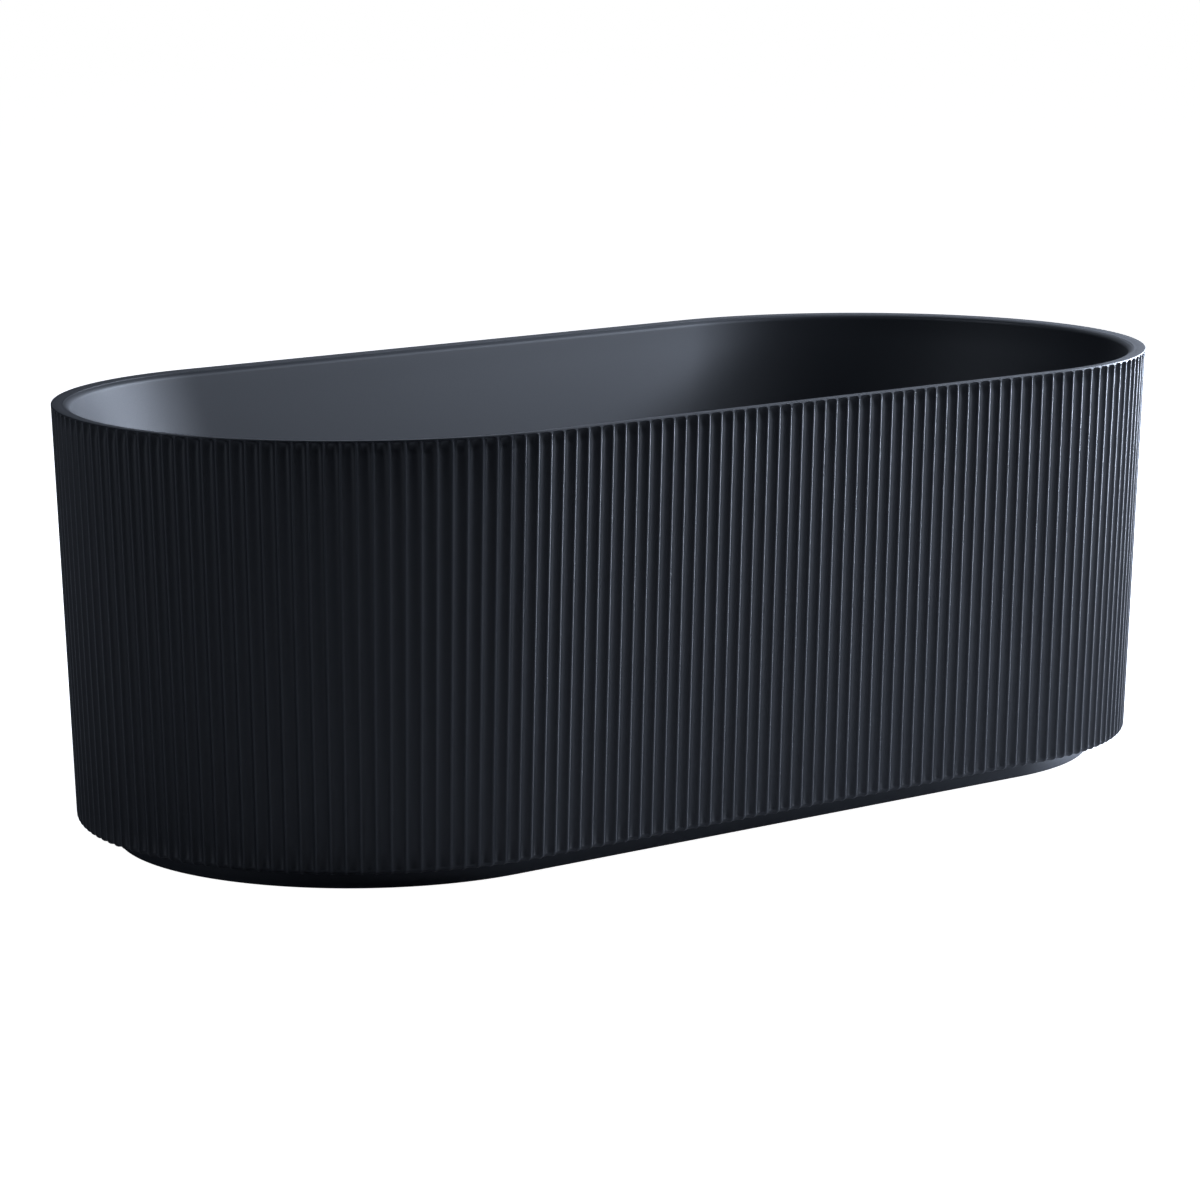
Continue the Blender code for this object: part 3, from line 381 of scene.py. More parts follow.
def acrylic(name, low, high, tone=1.0, wear_and_highlight=False):
    """Matt black cast acrylic with a satin sheen, fine grain and a little clouding."""
    m = Nodes(name)
    m.set(IOR=1.49, Specular_IOR_Level=0.5)
    cloud = m.noise(3.5, 4, 0.55)
    grain = m.noise(620, 3, 0.6)
    # A tone above 1 lightens the base colour, used on the plinth as painted fill light.
    shades = [tuple(tone * part for part in shade) for shade in ACRYLIC]
    base = m.mix(m.span(cloud, 0, 1), *shades)
    speck = m.span(m.cells(900), 1, 0, 0.06, 0.22)
    base = m.mix(m.maths("MULTIPLY", speck, 0.10), base, (0.030, 0.031, 0.034))
    rough = m.maths("ADD", m.span(cloud, -0.025, 0.03), m.span(grain, low, high))
    # Ridge crests get a lighter base colour and less roughness: partly wear, partly a painted
    # highlight.
    if wear_and_highlight:
        edge = m.add("Attribute", attribute_name="ridge").outputs["Fac"]
        worn_and_lit = m.maths("MULTIPLY", edge, m.span(m.noise(40, 3, 0.6), 0.85, 1.0))
        base = m.mix(m.maths("MULTIPLY", worn_and_lit, 0.50), base, (0.060, 0.063, 0.071))
        rough = m.maths("SUBTRACT", rough, m.maths("MULTIPLY", worn_and_lit, 0.08))
    m.colour(base)
    m.roughness(rough)
    m.bump([(m.noise(55, 2, 0.5), 0.0004, 0.012), (grain, 0.00005, 0.12)])
    return m.material


def moulded(name, colour, rough, grain):
    """Injection-moulded plastic with a spark-eroded texture."""
    m = Nodes(name)
    m.set(IOR=1.48, Specular_IOR_Level=0.5)
    pits = m.noise(grain, 4, 0.6)
    flow = m.noise(18, 3, 0.5, stretch=(1, 1, 2.5))
    light = tuple(min(1, c * 1.3 + 0.004) for c in colour)
    dark = tuple(c * 0.82 for c in colour)
    m.colour(m.mix(m.span(flow, 0, 1), dark, light))
    m.roughness(m.maths("ADD", m.span(pits, rough - 0.06, rough + 0.06), m.span(flow, -0.03, 0.03)))
    m.bump([(pits, 0.00015, 0.4)])
    return m.material


def rubber():
    m = Nodes("seal_rubber_look")
    m.set(IOR=1.52, Specular_IOR_Level=0.35)
    fine = m.noise(700, 4, 0.7)
    bloom = m.noise(30, 4, 0.6)
    m.colour(m.ramp(bloom, [(0.35, (0.010, 0.010, 0.010)), (0.7, (0.030, 0.030, 0.029))]))
    m.roughness(m.span(fine, 0.72, 0.9))
    m.bump([(fine, 0.00012, 0.5)])
    return m.material


def foot_rubber():
    m = Nodes("foot_rubber_look")
    m.set(IOR=1.5, Specular_IOR_Level=0.4)
    fine = m.noise(520, 4, 0.7)
    dust = m.span(m.noise(60, 4, 0.65), 0, 1, 0.5, 0.78)
    m.colour(m.mix(m.maths("MULTIPLY", dust, 0.45), (0.014, 0.014, 0.015), (0.10, 0.098, 0.09)))
    m.roughness(m.span(fine, 0.62, 0.82))
    m.bump([(fine, 0.00018, 0.5), (m.noise(90, 2), 0.0003, 0.2)])
    return m.material


def zinc():
    """Bright zinc plate with a faint spangle and drawing marks."""
    m = Nodes("zinc_look")
    m.set(Metallic=1.0)
    spangle = m.cells(240, output="Color")
    split = m.add("SeparateColor")
    m.link(spangle, split.inputs[0])
    shade = split.outputs[0]
    marks = m.noise(160, 3, 0.6, stretch=(1, 1, 7))
    m.colour(m.mix(m.span(shade, 0, 1, 0, 1), (0.50, 0.51, 0.53), (0.66, 0.67, 0.69)))
    m.roughness(m.maths("ADD", m.span(shade, 0.24, 0.38, 0, 1), m.span(marks, -0.04, 0.06)))
    m.bump([(marks, 0.00006, 0.3)])
    return m.material


def powder_coat():
    m = Nodes("frame_paint_look")
    m.set(IOR=1.5, Specular_IOR_Level=0.5)
    peel = m.noise(260, 2, 0.5)
    speck = m.span(m.cells(1100), 1, 0, 0.05, 0.2)
    m.colour(m.mix(m.maths("MULTIPLY", speck, 0.35), (0.030, 0.031, 0.033), (0.075, 0.077, 0.08)))
    m.roughness(m.span(peel, 0.36, 0.52))
    m.bump([(peel, 0.0003, 0.35)])
    return m.material


def chipboard():
    """Moisture-resistant chipboard: flakes, fibre and coarser clumps."""
    m = Nodes("base_board_look")
    m.set(IOR=1.45, Specular_IOR_Level=0.2)
    flakes = m.cells(420, output="Color", stretch=(1, 0.4, 1))
    split = m.add("SeparateColor")
    m.link(flakes, split.inputs[0])
    fibre = m.noise(700, 4, 0.7, stretch=(0.3, 1, 1))
    clumps = m.noise(45, 3, 0.6)
    tone = m.maths("ADD", m.maths("MULTIPLY", split.outputs[0], 0.45), m.span(fibre, 0, 0.35))
    tone = m.maths("ADD", tone, m.span(clumps, 0, 0.2))
    m.colour(m.ramp(tone, [
        (0.05, (0.190, 0.150, 0.080)),
        (0.40, (0.290, 0.230, 0.130)),
        (0.75, (0.370, 0.300, 0.180)),
        (0.98, (0.450, 0.375, 0.235)),
    ]))
    m.roughness(m.span(fibre, 0.75, 0.92))
    m.bump([(split.outputs[1], 0.0002, 0.3), (fibre, 0.0002, 0.4)])
    return m.material


def adhesive():
    m = Nodes("bonding_adhesive_look")
    m.set(IOR=1.46, Specular_IOR_Level=0.4)
    lumps = m.noise(85, 3, 0.6, distortion=0.6)
    pits = m.cells(420)
    m.colour(m.ramp(lumps, [(0.3, (0.40, 0.37, 0.28)), (0.7, (0.62, 0.58, 0.47))]))
    m.roughness(m.span(lumps, 0.45, 0.68))
    m.bump([(lumps, 0.0012, 0.6), (pits, 0.0003, 0.3)])
    return m.material


def coated_metal():
    """Black coated brass, turned, with fine grain and faint clouding."""
    m = Nodes("waste_metal_look")
    m.set(Metallic=0.55, IOR=1.6, Coat_Weight=0.15, Coat_Roughness=0.25)
    fine = m.noise(900, 3, 0.6)
    cloud = m.noise(24, 3, 0.5)
    m.colour(m.mix(m.span(cloud, 0, 1), (0.014, 0.0145, 0.016), (0.026, 0.027, 0.030)))
    m.roughness(m.maths("ADD", m.span(fine, 0.27, 0.38), m.span(cloud, -0.02, 0.03)))
    m.bump([(fine, 0.00005, 0.3)])
    return m.material


def bare_metal(name, dark, light):
    m = Nodes(name)
    m.set(Metallic=1.0)
    drawn = m.noise(520, 4, 0.65, stretch=(1, 1, 5))
    stain = m.noise(70, 3, 0.5)
    m.colour(m.mix(m.span(stain, 0, 1), dark, light))
    m.roughness(m.span(drawn, 0.18, 0.34))
    m.bump([(drawn, 0.00005, 0.3)])
    return m.material


def materials():
    return {
        "basin_acrylic": acrylic("basin_acrylic_look", 0.50, 0.60),
        # Its ridge crests are lighter: partly wear, partly a painted highlight.
        "skirt_acrylic": acrylic("skirt_acrylic_look", 0.41, 0.49, wear_and_highlight=True),
        # The plinth's base colour is doubled: painted fill light for the light it misses under the
        # skirt.
        "plinth_acrylic": acrylic("plinth_acrylic_look", 0.44, 0.56, tone=2.0),
        "bonding_adhesive": adhesive(),
        "base_board": chipboard(),
        "frame_paint": powder_coat(),
        "zinc": zinc(),
        "foot_rubber": foot_rubber(),
        "waste_metal": coated_metal(),
        "seal_rubber": rubber(),
        "cartridge_plastic": moulded("cartridge_plastic_look", (0.62, 0.61, 0.57), 0.4, 420),
        "stem_brass": bare_metal("stem_brass_look", (0.50, 0.34, 0.12), (0.72, 0.53, 0.24)),
        "spring_steel": bare_metal("spring_steel_look", (0.52, 0.53, 0.55), (0.72, 0.72, 0.74)),
        "trap_plastic": moulded("trap_plastic_look", (0.017, 0.017, 0.018), 0.46, 380),
    }


LOOK = materials()
SLOT_OF = {
    part["node"]: part["material_slot"] for part in frame["record"]["subparts"]
}


# ---------------------------------------------------------------- pieces


def piece(name, bm, slot, body=TUB, stands_for=(), smooth=40):
    """Makes a named piece of this mesh, which rides on the body and takes the slot's finish."""
    bmesh.ops.recalc_face_normals(bm, faces=bm.faces)
    mesh = bpy.data.meshes.new(name)
    bm.to_mesh(mesh)
    bm.free()
    mesh.shade_smooth()
    mesh.set_sharp_from_angle(angle=math.radians(smooth))
    mesh.materials.append(LOOK[slot])
    obj = bpy.data.objects.new(name, mesh)
    bpy.context.scene.collection.objects.link(obj)
    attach(obj, body)
    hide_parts(*stands_for)
    return obj


def grid_faces(bm, rows, closed=True):
    """Quads between rings of points with the same length, and a triangle where two are one."""
    pairs = list(zip(rows, rows[1:]))
    if closed:
        pairs.append((rows[-1], rows[0]))
    for first, second in pairs:
        count = len(first)
        for step in range(count):
            after = (step + 1) % count
            corners = []
            for vertex in (first[step], first[after], second[after], second[step]):
                if vertex not in corners:
                    corners.append(vertex)
            if len(corners) > 2:
                bm.faces.new(corners)


NEARLY_STRAIGHT = math.radians(86)  # half the angle of a corner that is left as it is


def rounded(profile, radius, steps=4):
    """The profile with each corner turned into a short arc. A point may carry its own radius as a
    third number, and one on the axis stays sharp."""
    made = []
    count = len(profile)
    for index, point in enumerate(profile):
        here = Vector(point[:2])
        own = point[2] if len(point) > 2 else radius
        open_ended = profile[0][0] == 0 and index in (0, count - 1)
        before = Vector(profile[index - 1][:2]) - here
        after = Vector(profile[(index + 1) % count][:2]) - here
        half = before.angle(after, math.pi) / 2
        if own <= 0 or open_ended or half > NEARLY_STRAIGHT:
            made.append((here.x, here.y))
            continue
        cut = min(own / math.tan(half), before.length * 0.45, after.length * 0.45)
        start, end = here + before.normalized() * cut, here + after.normalized() * cut
        for step in range(steps + 1):
            t = step / steps
            at = start * (1 - t) ** 2 + here * 2 * t * (1 - t) + end * t * t
            made.append((at.x, at.y))
    return made


def turned(profile, steps=72, centre=(0, 0), shape=None):
    """A mesh of (radius, height) points turned about a vertical axis. shape(angle, radius, height)
    gives another radius for a point, for flats, ribs and threads."""
    bm = bmesh.new()
    rows = []
    solid = profile[0][0] == 0
    for radius, height in profile:
        if radius == 0:
            rows.append([bm.verts.new((centre[0], centre[1], height))] * steps)
            continue
        row = []
        for step in range(steps):
            angle = 2 * math.pi * step / steps
            reach = shape(angle, radius, height) if shape else radius
            at = (centre[0] + reach * math.cos(angle), centre[1] + reach * math.sin(angle), height)
            row.append(bm.verts.new(at))
        rows.append(row)
    grid_faces(bm, rows, closed=not solid)
    return bm


# ---------------------------------------------------------------- stadium outlines


def outline(arc_steps=ARC_STEPS, side_steps=SIDE_STEPS):
    """[(along the straight half, normal x, normal y)] round the stadium."""
    found = []
    for sign, start in ((1, -math.pi / 2), (-1, math.pi / 2)):
        for step in range(arc_steps + 1):
            angle = start + math.pi * step / arc_steps
            found.append((float(sign), math.cos(angle), math.sin(angle)))
        for step in range(1, side_steps):
            share = 1 - 2 * step / side_steps
            found.append((sign * share, 0.0, float(sign)))
    return found


def circle_row(bm, count, radius, height):
    """A ring round the drain whose points face those of an outline."""
    row = []
    for step in range(count):
        angle = 2 * math.pi * (step - SIDE_STEPS // 2) / count - math.pi / 2
        row.append(bm.verts.new((radius * math.cos(angle), radius * math.sin(angle), height)))
    return row


def stadium_row(bm, places, side, end, height):
    straight = STRAIGHT + side - end
    radius = RADIUS - side
    row = []
    for along, normal_x, normal_y in places:
        at = (along * straight + radius * normal_x, radius * normal_y, height)
        row.append(bm.verts.new(at))
    return row


def mixed_row(bm, first, second, share, height):
    row = []
    for a, b in zip(first, second):
        at = a.co.lerp(b.co, share)
        row.append(bm.verts.new((at.x, at.y, height)))
    return row


def wall_points(fillet_steps, wall_steps):
    """(side inset, end inset, height, share) up the inside of the basin from its floor's edge."""
    foot = FLOOR_HEIGHT + WALL_FOOT_RISE
    floor_edge = FLOOR_HEIGHT + FLOOR_FALL
    top = HEIGHT - RIM_INNER_ROUND
    slope = (foot - floor_edge) / (top - foot)
    side_corner = SIDE_INSET_AT_WALL_FOOT + slope * (SIDE_INSET_AT_WALL_FOOT - RIM_WIDTH)
    end_corner = END_INSET_AT_WALL_FOOT + slope * (END_INSET_AT_WALL_FOOT - RIM_WIDTH)
    points = []
    for step in range(fillet_steps + 1):
        t = step / fillet_steps
        floor, corner, wall = (1 - t) ** 2, 2 * t * (1 - t), t**2
        side = floor * SIDE_INSET_AT_FLOOR + corner * side_corner + wall * SIDE_INSET_AT_WALL_FOOT
        end = floor * END_INSET_AT_FLOOR + corner * end_corner + wall * END_INSET_AT_WALL_FOOT
        points.append((side, end, (floor + corner) * floor_edge + wall * foot, t))
    for step in range(1, wall_steps + 1):
        t = step / wall_steps
        side = SIDE_INSET_AT_WALL_FOOT + t * (RIM_WIDTH - SIDE_INSET_AT_WALL_FOOT)
        end = END_INSET_AT_WALL_FOOT + t * (RIM_WIDTH - END_INSET_AT_WALL_FOOT)
        points.append((side, end, foot + t * (top - foot), 1.0))
    return points


FLOOR_ROWS = 12


def basin():
    """Basin and rim in one smooth shell, open at the drain."""
    bm = bmesh.new()
    places = outline()
    count = len(places)

    def drain(radius, height):
        return circle_row(bm, count, radius, height)

    inside = wall_points(20, 10)
    rows = [
        drain(DRAIN_RADIUS, UNDERSIDE),
        drain(DRAIN_RADIUS, FLOOR_HEIGHT - 0.0008),
        drain(DRAIN_RADIUS + 0.0008, FLOOR_HEIGHT),
        drain(DRAIN_SEAT_RADIUS, FLOOR_HEIGHT),
    ]
    seat = rows[-1]
    edge = stadium_row(bm, places, *inside[0][:3])
    for step in range(1, FLOOR_ROWS):
        share = step / FLOOR_ROWS
        height = FLOOR_HEIGHT + FLOOR_FALL * share**1.5
        rows.append(mixed_row(bm, seat, edge, share, height))
    rows.append(edge)
    for side, end, height, _ in inside[1:]:
        rows.append(stadium_row(bm, places, side, end, height))
    for step in range(1, 9):
        angle = math.pi / 16 * step
        inset = RIM_WIDTH - RIM_INNER_ROUND * (1 - math.cos(angle))
        height = HEIGHT - RIM_INNER_ROUND * (1 - math.sin(angle)) - RIM_FALL * math.sin(angle)
        rows.append(stadium_row(bm, places, inset, inset, height))
    for step in range(0, 6):
        angle = math.pi / 10 * step
        inset = RIM_OUTER_ROUND * (1 - math.sin(angle))
        height = HEIGHT - RIM_OUTER_ROUND * (1 - math.cos(angle))
        rows.append(stadium_row(bm, places, inset, inset, height))
    rim_bottom = HEIGHT - LIP
    rows.append(stadium_row(bm, places, 0.0, 0.0, rim_bottom))
    foot = FLOOR_HEIGHT + WALL_FOOT_RISE
    share = (rim_bottom - foot) / (HEIGHT - RIM_INNER_ROUND - foot)
    side = SIDE_INSET_AT_WALL_FOOT + share * (RIM_WIDTH - SIDE_INSET_AT_WALL_FOOT) - SHELL
    end = END_INSET_AT_WALL_FOOT + share * (RIM_WIDTH - END_INSET_AT_WALL_FOOT) - SHELL
    rows.append(stadium_row(bm, places, side, end, rim_bottom))
    for side, end, height, share in reversed(inside[:-1]):
        thinner = SHELL * share
        drop = (height - UNDERSIDE) * (1 - share) ** 2
        straight = STRAIGHT + side - end
        radius = RADIUS - side + thinner
        rows.append([
            bm.verts.new((along * straight + radius * x, radius * y, height - drop))
            for along, x, y in places
        ])
    grid_faces(bm, rows)
    piece("basin", bm, "basin_acrylic", stands_for=["basin_shell"], smooth=50)


def flute_columns():
    """One pitch of the fluting from the middle of a ridge: [(offset along, depth)].
    A ridge is a convex arc that runs tangent into the groove's concave one."""
    pitch = PERIMETER / FLUTES
    lean = 2 * math.atan(FLUTE_DEPTH / (pitch / 2))
    cap_radius = RIDGE_HALF / math.sin(lean)
    groove_half = pitch / 2 - RIDGE_HALF
    groove_radius = groove_half / math.sin(lean)
    found = []
    for step in range(4):
        angle = lean * step / 4
        found.append((cap_radius * math.sin(angle), cap_radius * (1 - math.cos(angle))))
    for step in range(6):
        angle = lean * (1 - step / 6)
        across = pitch / 2 - groove_radius * math.sin(angle)
        found.append((across, FLUTE_DEPTH - groove_radius * (1 - math.cos(angle))))
    mirrored = [(pitch - across, depth) for across, depth in reversed(found[1:])]
    return found + [(pitch / 2, FLUTE_DEPTH)] + mirrored


def along_rim(distance):
    """(along, normal x, normal y) this far round the rim from the middle of the -Y side."""
    distance %= PERIMETER
    half_turn = math.pi * RADIUS
    if distance < STRAIGHT:
        return distance / STRAIGHT, 0.0, -1.0
    distance -= STRAIGHT
    if distance < half_turn:
        angle = distance / RADIUS - math.pi / 2
        return 1.0, math.cos(angle), math.sin(angle)
    distance -= half_turn
    if distance < 2 * STRAIGHT:
        return 1.0 - distance / STRAIGHT, 0.0, 1.0
    distance -= 2 * STRAIGHT
    if distance < half_turn:
        angle = distance / RADIUS + math.pi / 2
        return -1.0, math.cos(angle), math.sin(angle)
    distance -= half_turn
    return distance / STRAIGHT - 1.0, 0.0, -1.0


def skirt_inset(height):
    return SKIRT_TAPER * (HEIGHT - height) / (HEIGHT - SKIRT_BOTTOM)


def skirt_path():
    """Down the outside of the skirt from under its lip, round its bottom edge and in to the plinth:
    [(inset, height, out share, down share, flute share)], where the shares are the surface's
    normal and how much of the fluting's depth is left."""
    path = []
    extra = (HEAD_DEPTH - 1.0) * DEPTH_BELOW_HEAD
    for height in (0.567, 0.559, 0.50, 0.40, 0.30, 0.20, 0.10, 0.06, SKIRT_BOTTOM + SKIRT_EDGE):
        path.append((skirt_inset(height), height, 1.0, 0.0, 1.0 + extra))
        extra *= DEPTH_FADE
    start = skirt_inset(SKIRT_BOTTOM + SKIRT_EDGE)
    for step in range(1, 9):
        angle = math.pi / 16 * step
        inset = start + SKIRT_EDGE * (1 - math.cos(angle))
        height = SKIRT_BOTTOM + SKIRT_EDGE * (1 - math.sin(angle))
        left = 1 - (1 - DEPTH_UNDER_EDGE) * step / 8
        path.append((inset, height, math.cos(angle), math.sin(angle), left))
    inset = start + SKIRT_EDGE
    for step in range(1, 5):
        left = DEPTH_UNDER_EDGE * (1 - step / 4)
        path.append((inset + UNDER_EDGE_STEP * step, SKIRT_BOTTOM, 0.0, 1.0, left))
    path.append((PLINTH_INSET - GAP, SKIRT_BOTTOM, 0.0, 1.0, 0.0))
    return path


def fluted_skirt():
    bm = bmesh.new()
    ridge = bm.verts.layers.float.new("ridge")
    pitch = PERIMETER / FLUTES
    columns = []
    for flute in range(FLUTES):
        for across, depth in flute_columns():
            columns.append((along_rim((flute + 0.5) * pitch + across), depth, across))
    lip_bottom = HEIGHT - LIP

    def spot(place, inset, height):
        along, x, y = place
        radius = RADIUS - inset
        return bm.verts.new((along * STRAIGHT + radius * x, radius * y, height))

    rows = [[spot(place, 0.0001, lip_bottom) for place, _, _ in columns]]
    # The grooves' rounded heads: a point's own arch height, then a steep cove under it, which
    # runs in deeper than the groove below.
    for fall, share in HEAD_ROWS:
        row = []
        for place, depth, across in columns:
            reach = depth / FLUTE_DEPTH
            rise = 1 - math.sqrt(min(1, 1.02 - (1 - reach) ** 2))
            arch = lip_bottom - 0.0002 - ARCH_RISE * rise
            height = arch - fall * (HEAD_LEAST + HEAD_COVE * reach**0.8)
            row.append(spot(place, skirt_inset(height) + depth * share, height))
        rows.append(row)
    for inset, height, out, down, share in skirt_path():
        row = []
        for place, depth, _ in columns:
            deep = depth * share
            row.append(spot(place, inset + deep * out, height + deep * down))
        rows.append(row)
    inner = (
        (PLINTH_INSET - GAP, SKIRT_BOTTOM + SKIRT_RETURN),
        (skirt_inset(SKIRT_BOTTOM) + SKIRT_WALL + SKIRT_EDGE / 2, SKIRT_BOTTOM + SKIRT_RETURN),
        (skirt_inset(0.06) + SKIRT_WALL, 0.06),
        (skirt_inset(0.30) + SKIRT_WALL, 0.30),
        (SKIRT_WALL, lip_bottom),
    )
    for inset, height in inner:
        rows.append([spot(place, inset, height) for place, _, _ in columns])
    grid_faces(bm, rows)
    # The ridge share marks the crests, where the skirt's finish is lighter: partly wear, partly a
    # painted highlight.
    for row in rows[: -len(inner)]:
        for vertex, (_, depth, _) in zip(row, columns):
            vertex[ridge] = max(0.0, 1 - depth / RIDGE_WEAR_AND_HIGHLIGHT_DEPTH)
    piece("fluted_skirt", bm, "skirt_acrylic", stands_for=["outer_skirt"], smooth=60)


def plinth_band():
    bm = bmesh.new()
    places = outline()
    outside, inside = PLINTH_INSET, PLINTH_INSET + PLINTH_WALL
    low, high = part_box("plinth")
    rows = []
    for inset, height in (
        (outside + 0.0008, low.z),
        (outside + 0.0002, low.z + 0.0002),
        (outside, low.z + 0.0008),
        (outside, high.z - 0.0008),
        (outside + 0.0008, high.z),
        (inside - 0.0006, high.z),
        (inside, high.z - 0.0006),
        (inside, low.z + 0.0006),
        (inside - 0.0006, low.z),
    ):
        rows.append(stadium_row(bm, places, inset, inset, height))
    grid_faces(bm, rows)
    holes = []
    for number in range(1, 5):
        screw_low, screw_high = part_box(f"plinth_screw_{number}")
        x, y, z = (screw_low + screw_high) / 2
        reach = (screw_high.y - screw_low.y) / 2 + GAP
        turn = Matrix.Rotation(math.pi / 2, 4, "X")
        hole = rod(SCREW_HOLE, -reach, reach, 24)
        holes.append(moved(hole, Matrix.Translation((x, y, z)) @ turn))
    bm = boolean(bm, holes)
    piece("plinth_band", bm, "plinth_acrylic", stands_for=["plinth"], smooth=50)


# ---------------------------------------------------------------- small shapes


def boolean(bm, others, operation="DIFFERENCE"):
    """The mesh after cutting the others from it, or joining them to it, one at a time."""
    temporary = []
    for each in (bm, *others):
        bmesh.ops.recalc_face_normals(each, faces=each.faces)
        mesh = bpy.data.meshes.new("boolean")
        each.to_mesh(mesh)
        each.free()
        obj = bpy.data.objects.new("boolean", mesh)
        bpy.context.scene.collection.objects.link(obj)
        temporary.append(obj)
    host = temporary[0]
    for other in temporary[1:]:
        modifier = host.modifiers.new("cut", "BOOLEAN")
        modifier.operation = operation
        modifier.object = other
        modifier.solver = "EXACT"
    graph = bpy.context.evaluated_depsgraph_get()
    made = bmesh.new()
    made.from_mesh(host.evaluated_get(graph).to_mesh())
    for obj in temporary:
        mesh = obj.data
        bpy.data.objects.remove(obj)
        bpy.data.meshes.remove(mesh)
    return made


def moved(bm, matrix):
    bmesh.ops.transform(bm, matrix=matrix, verts=bm.verts)
    return bm


def rod(radius, low, high, steps=24, centre=(0, 0)):
    return turned([(0, low), (radius, low), (radius, high), (0, high)], steps, centre)


def joined(first, *others):
    """One mesh of several closed shells."""
    for other in others:
        mesh = bpy.data.meshes.new("joined")
        other.to_mesh(mesh)
        other.free()
        first.from_mesh(mesh)
        bpy.data.meshes.remove(mesh)
    return first


def block(low, high):
    bm = bmesh.new()
    bmesh.ops.create_cube(bm, size=1.0)
    size = [b - a for a, b in zip(low, high)]
    centre = [(a + b) / 2 for a, b in zip(low, high)]
    return moved(bm, Matrix.Translation(centre) @ Matrix.Diagonal((*size, 1.0)))


def middle(node):
    low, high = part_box(node)
    return (low.x + high.x) / 2, (low.y + high.y) / 2


def thread(pitch, depth, low, high):
    """A shape for turned(): a screw thread between two heights, run out at both ends."""
    def shape(angle, radius, height):
        if not low < height < high:
            return radius
        phase = (height / pitch - angle / (2 * math.pi)) % 1.0
        wave = min(1.0, max(0.0, 2.2 * abs(2 * phase - 1) - 0.6))
        fade = min(1.0, (height - low) / pitch, (high - height) / pitch)
        return radius - depth * (1 - wave) * fade - depth * (1 - fade) * 0.5
    return shape


def thread_rows(radius, pitch, low, high):
    rows_per_turn = 6
    count = max(2, round((high - low) / pitch * rows_per_turn))
    return [(radius, low + (high - low) * step / count) for step in range(count + 1)]


def ribs(count, depth, least_radius, share=0.5):
    """A shape for turned(): grip ribs on everything outside the least radius."""
    def shape(angle, radius, height):
        if radius < least_radius:
            return radius
        phase = (angle * count / (2 * math.pi)) % 1.0
        rise = min(1.0, max(0.0, (share / 2 - abs(phase - 0.5)) * 8 + 0.5))
        return radius - depth * (1 - rise)
    return shape


def hex_nut(across_flats, bore, low, high, chamfer):
    """(profile, shape) of a nut whose corners are turned off at both faces."""
    corner = across_flats / math.sqrt(3)
    start = across_flats / 2 * 0.96
    ease = 0.0004
    rise = [(start + (corner - start) * s / 4, chamfer * s / 4) for s in range(5)]
    profile = [(bore + ease, low), *((r, low + z) for r, z in rise)]
    profile += [*((r, high - z) for r, z in reversed(rise)), (bore + ease, high)]
    profile += [(bore, high - ease), (bore, low + ease)]

    def shape(angle, radius, height):
        if radius < start * 0.99:
            return radius
        lean = (angle + math.pi / 6) % (math.pi / 3) - math.pi / 6
        return min(radius, across_flats / 2 / math.cos(lean))
    return profile, shape


# ---------------------------------------------------------------- frame, feet and screws


def screw_mesh(length):
    """A pan-head screw with a cross recess. Its head's underside is at the origin."""
    head = rounded([
        (0, SCREW_HEAD_HEIGHT),
        (SCREW_HEAD_RADIUS * 0.55, SCREW_HEAD_HEIGHT, 0.0008),
        (SCREW_HEAD_RADIUS, SCREW_HEAD_HEIGHT * 0.35, 0.0007),
        (SCREW_HEAD_RADIUS, 0, 0.0003),
        (SCREW_RADIUS, 0, 0.0002),
    ], 0.0002, 4)
    rows = thread_rows(SCREW_RADIUS, SCREW_PITCH, -length + 0.0018, -0.0008)[::-1]
    profile = head + rows + [(0.0004, -length + 0.0001), (0, -length)]
    bm = turned(profile, 24, shape=thread(SCREW_PITCH, 0.0006, -length + 0.0017, -0.0007))
    arms = []
    for turn in (0, math.pi / 2):
        reach, half = SCREW_HEAD_RADIUS * 0.52, 0.00055
        arm = block((-reach, -half, SCREW_HEAD_HEIGHT - 0.0016), (reach, half, 0.01))
        arms.append(moved(arm, Matrix.Rotation(turn + 0.4, 4, "Z")))
    return boolean(bm, arms)


def screws():
    for kind in ("board_screw", "plinth_screw", "crossbar_screw"):
        for number in range(1, 5):
            node = f"{kind}_{number}"
            low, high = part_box(node)
            x, y, z = (low + high) / 2
            axis = 1 if kind == "plinth_screw" else 2
            length = high[axis] - low[axis] - SCREW_HEAD_HEIGHT
            if kind == "board_screw":
                turn = Matrix.Rotation(math.pi, 4, "X")
                at = (x, y, low.z + SCREW_HEAD_HEIGHT)
            elif kind == "crossbar_screw":
                turn = Matrix.Identity(4)
                at = (x, y, high.z - SCREW_HEAD_HEIGHT)
            else:
                sign = 1 if y > 0 else -1
                turn = Matrix.Rotation(sign * math.pi / 2, 4, "X")
                inner = low.y if sign > 0 else high.y
                at = (x, inner + sign * SCREW_HEAD_HEIGHT, z)
            bm = moved(screw_mesh(length), Matrix.Translation(at) @ turn)
            piece(f"cross_{node}", bm, "zinc", stands_for=[node])


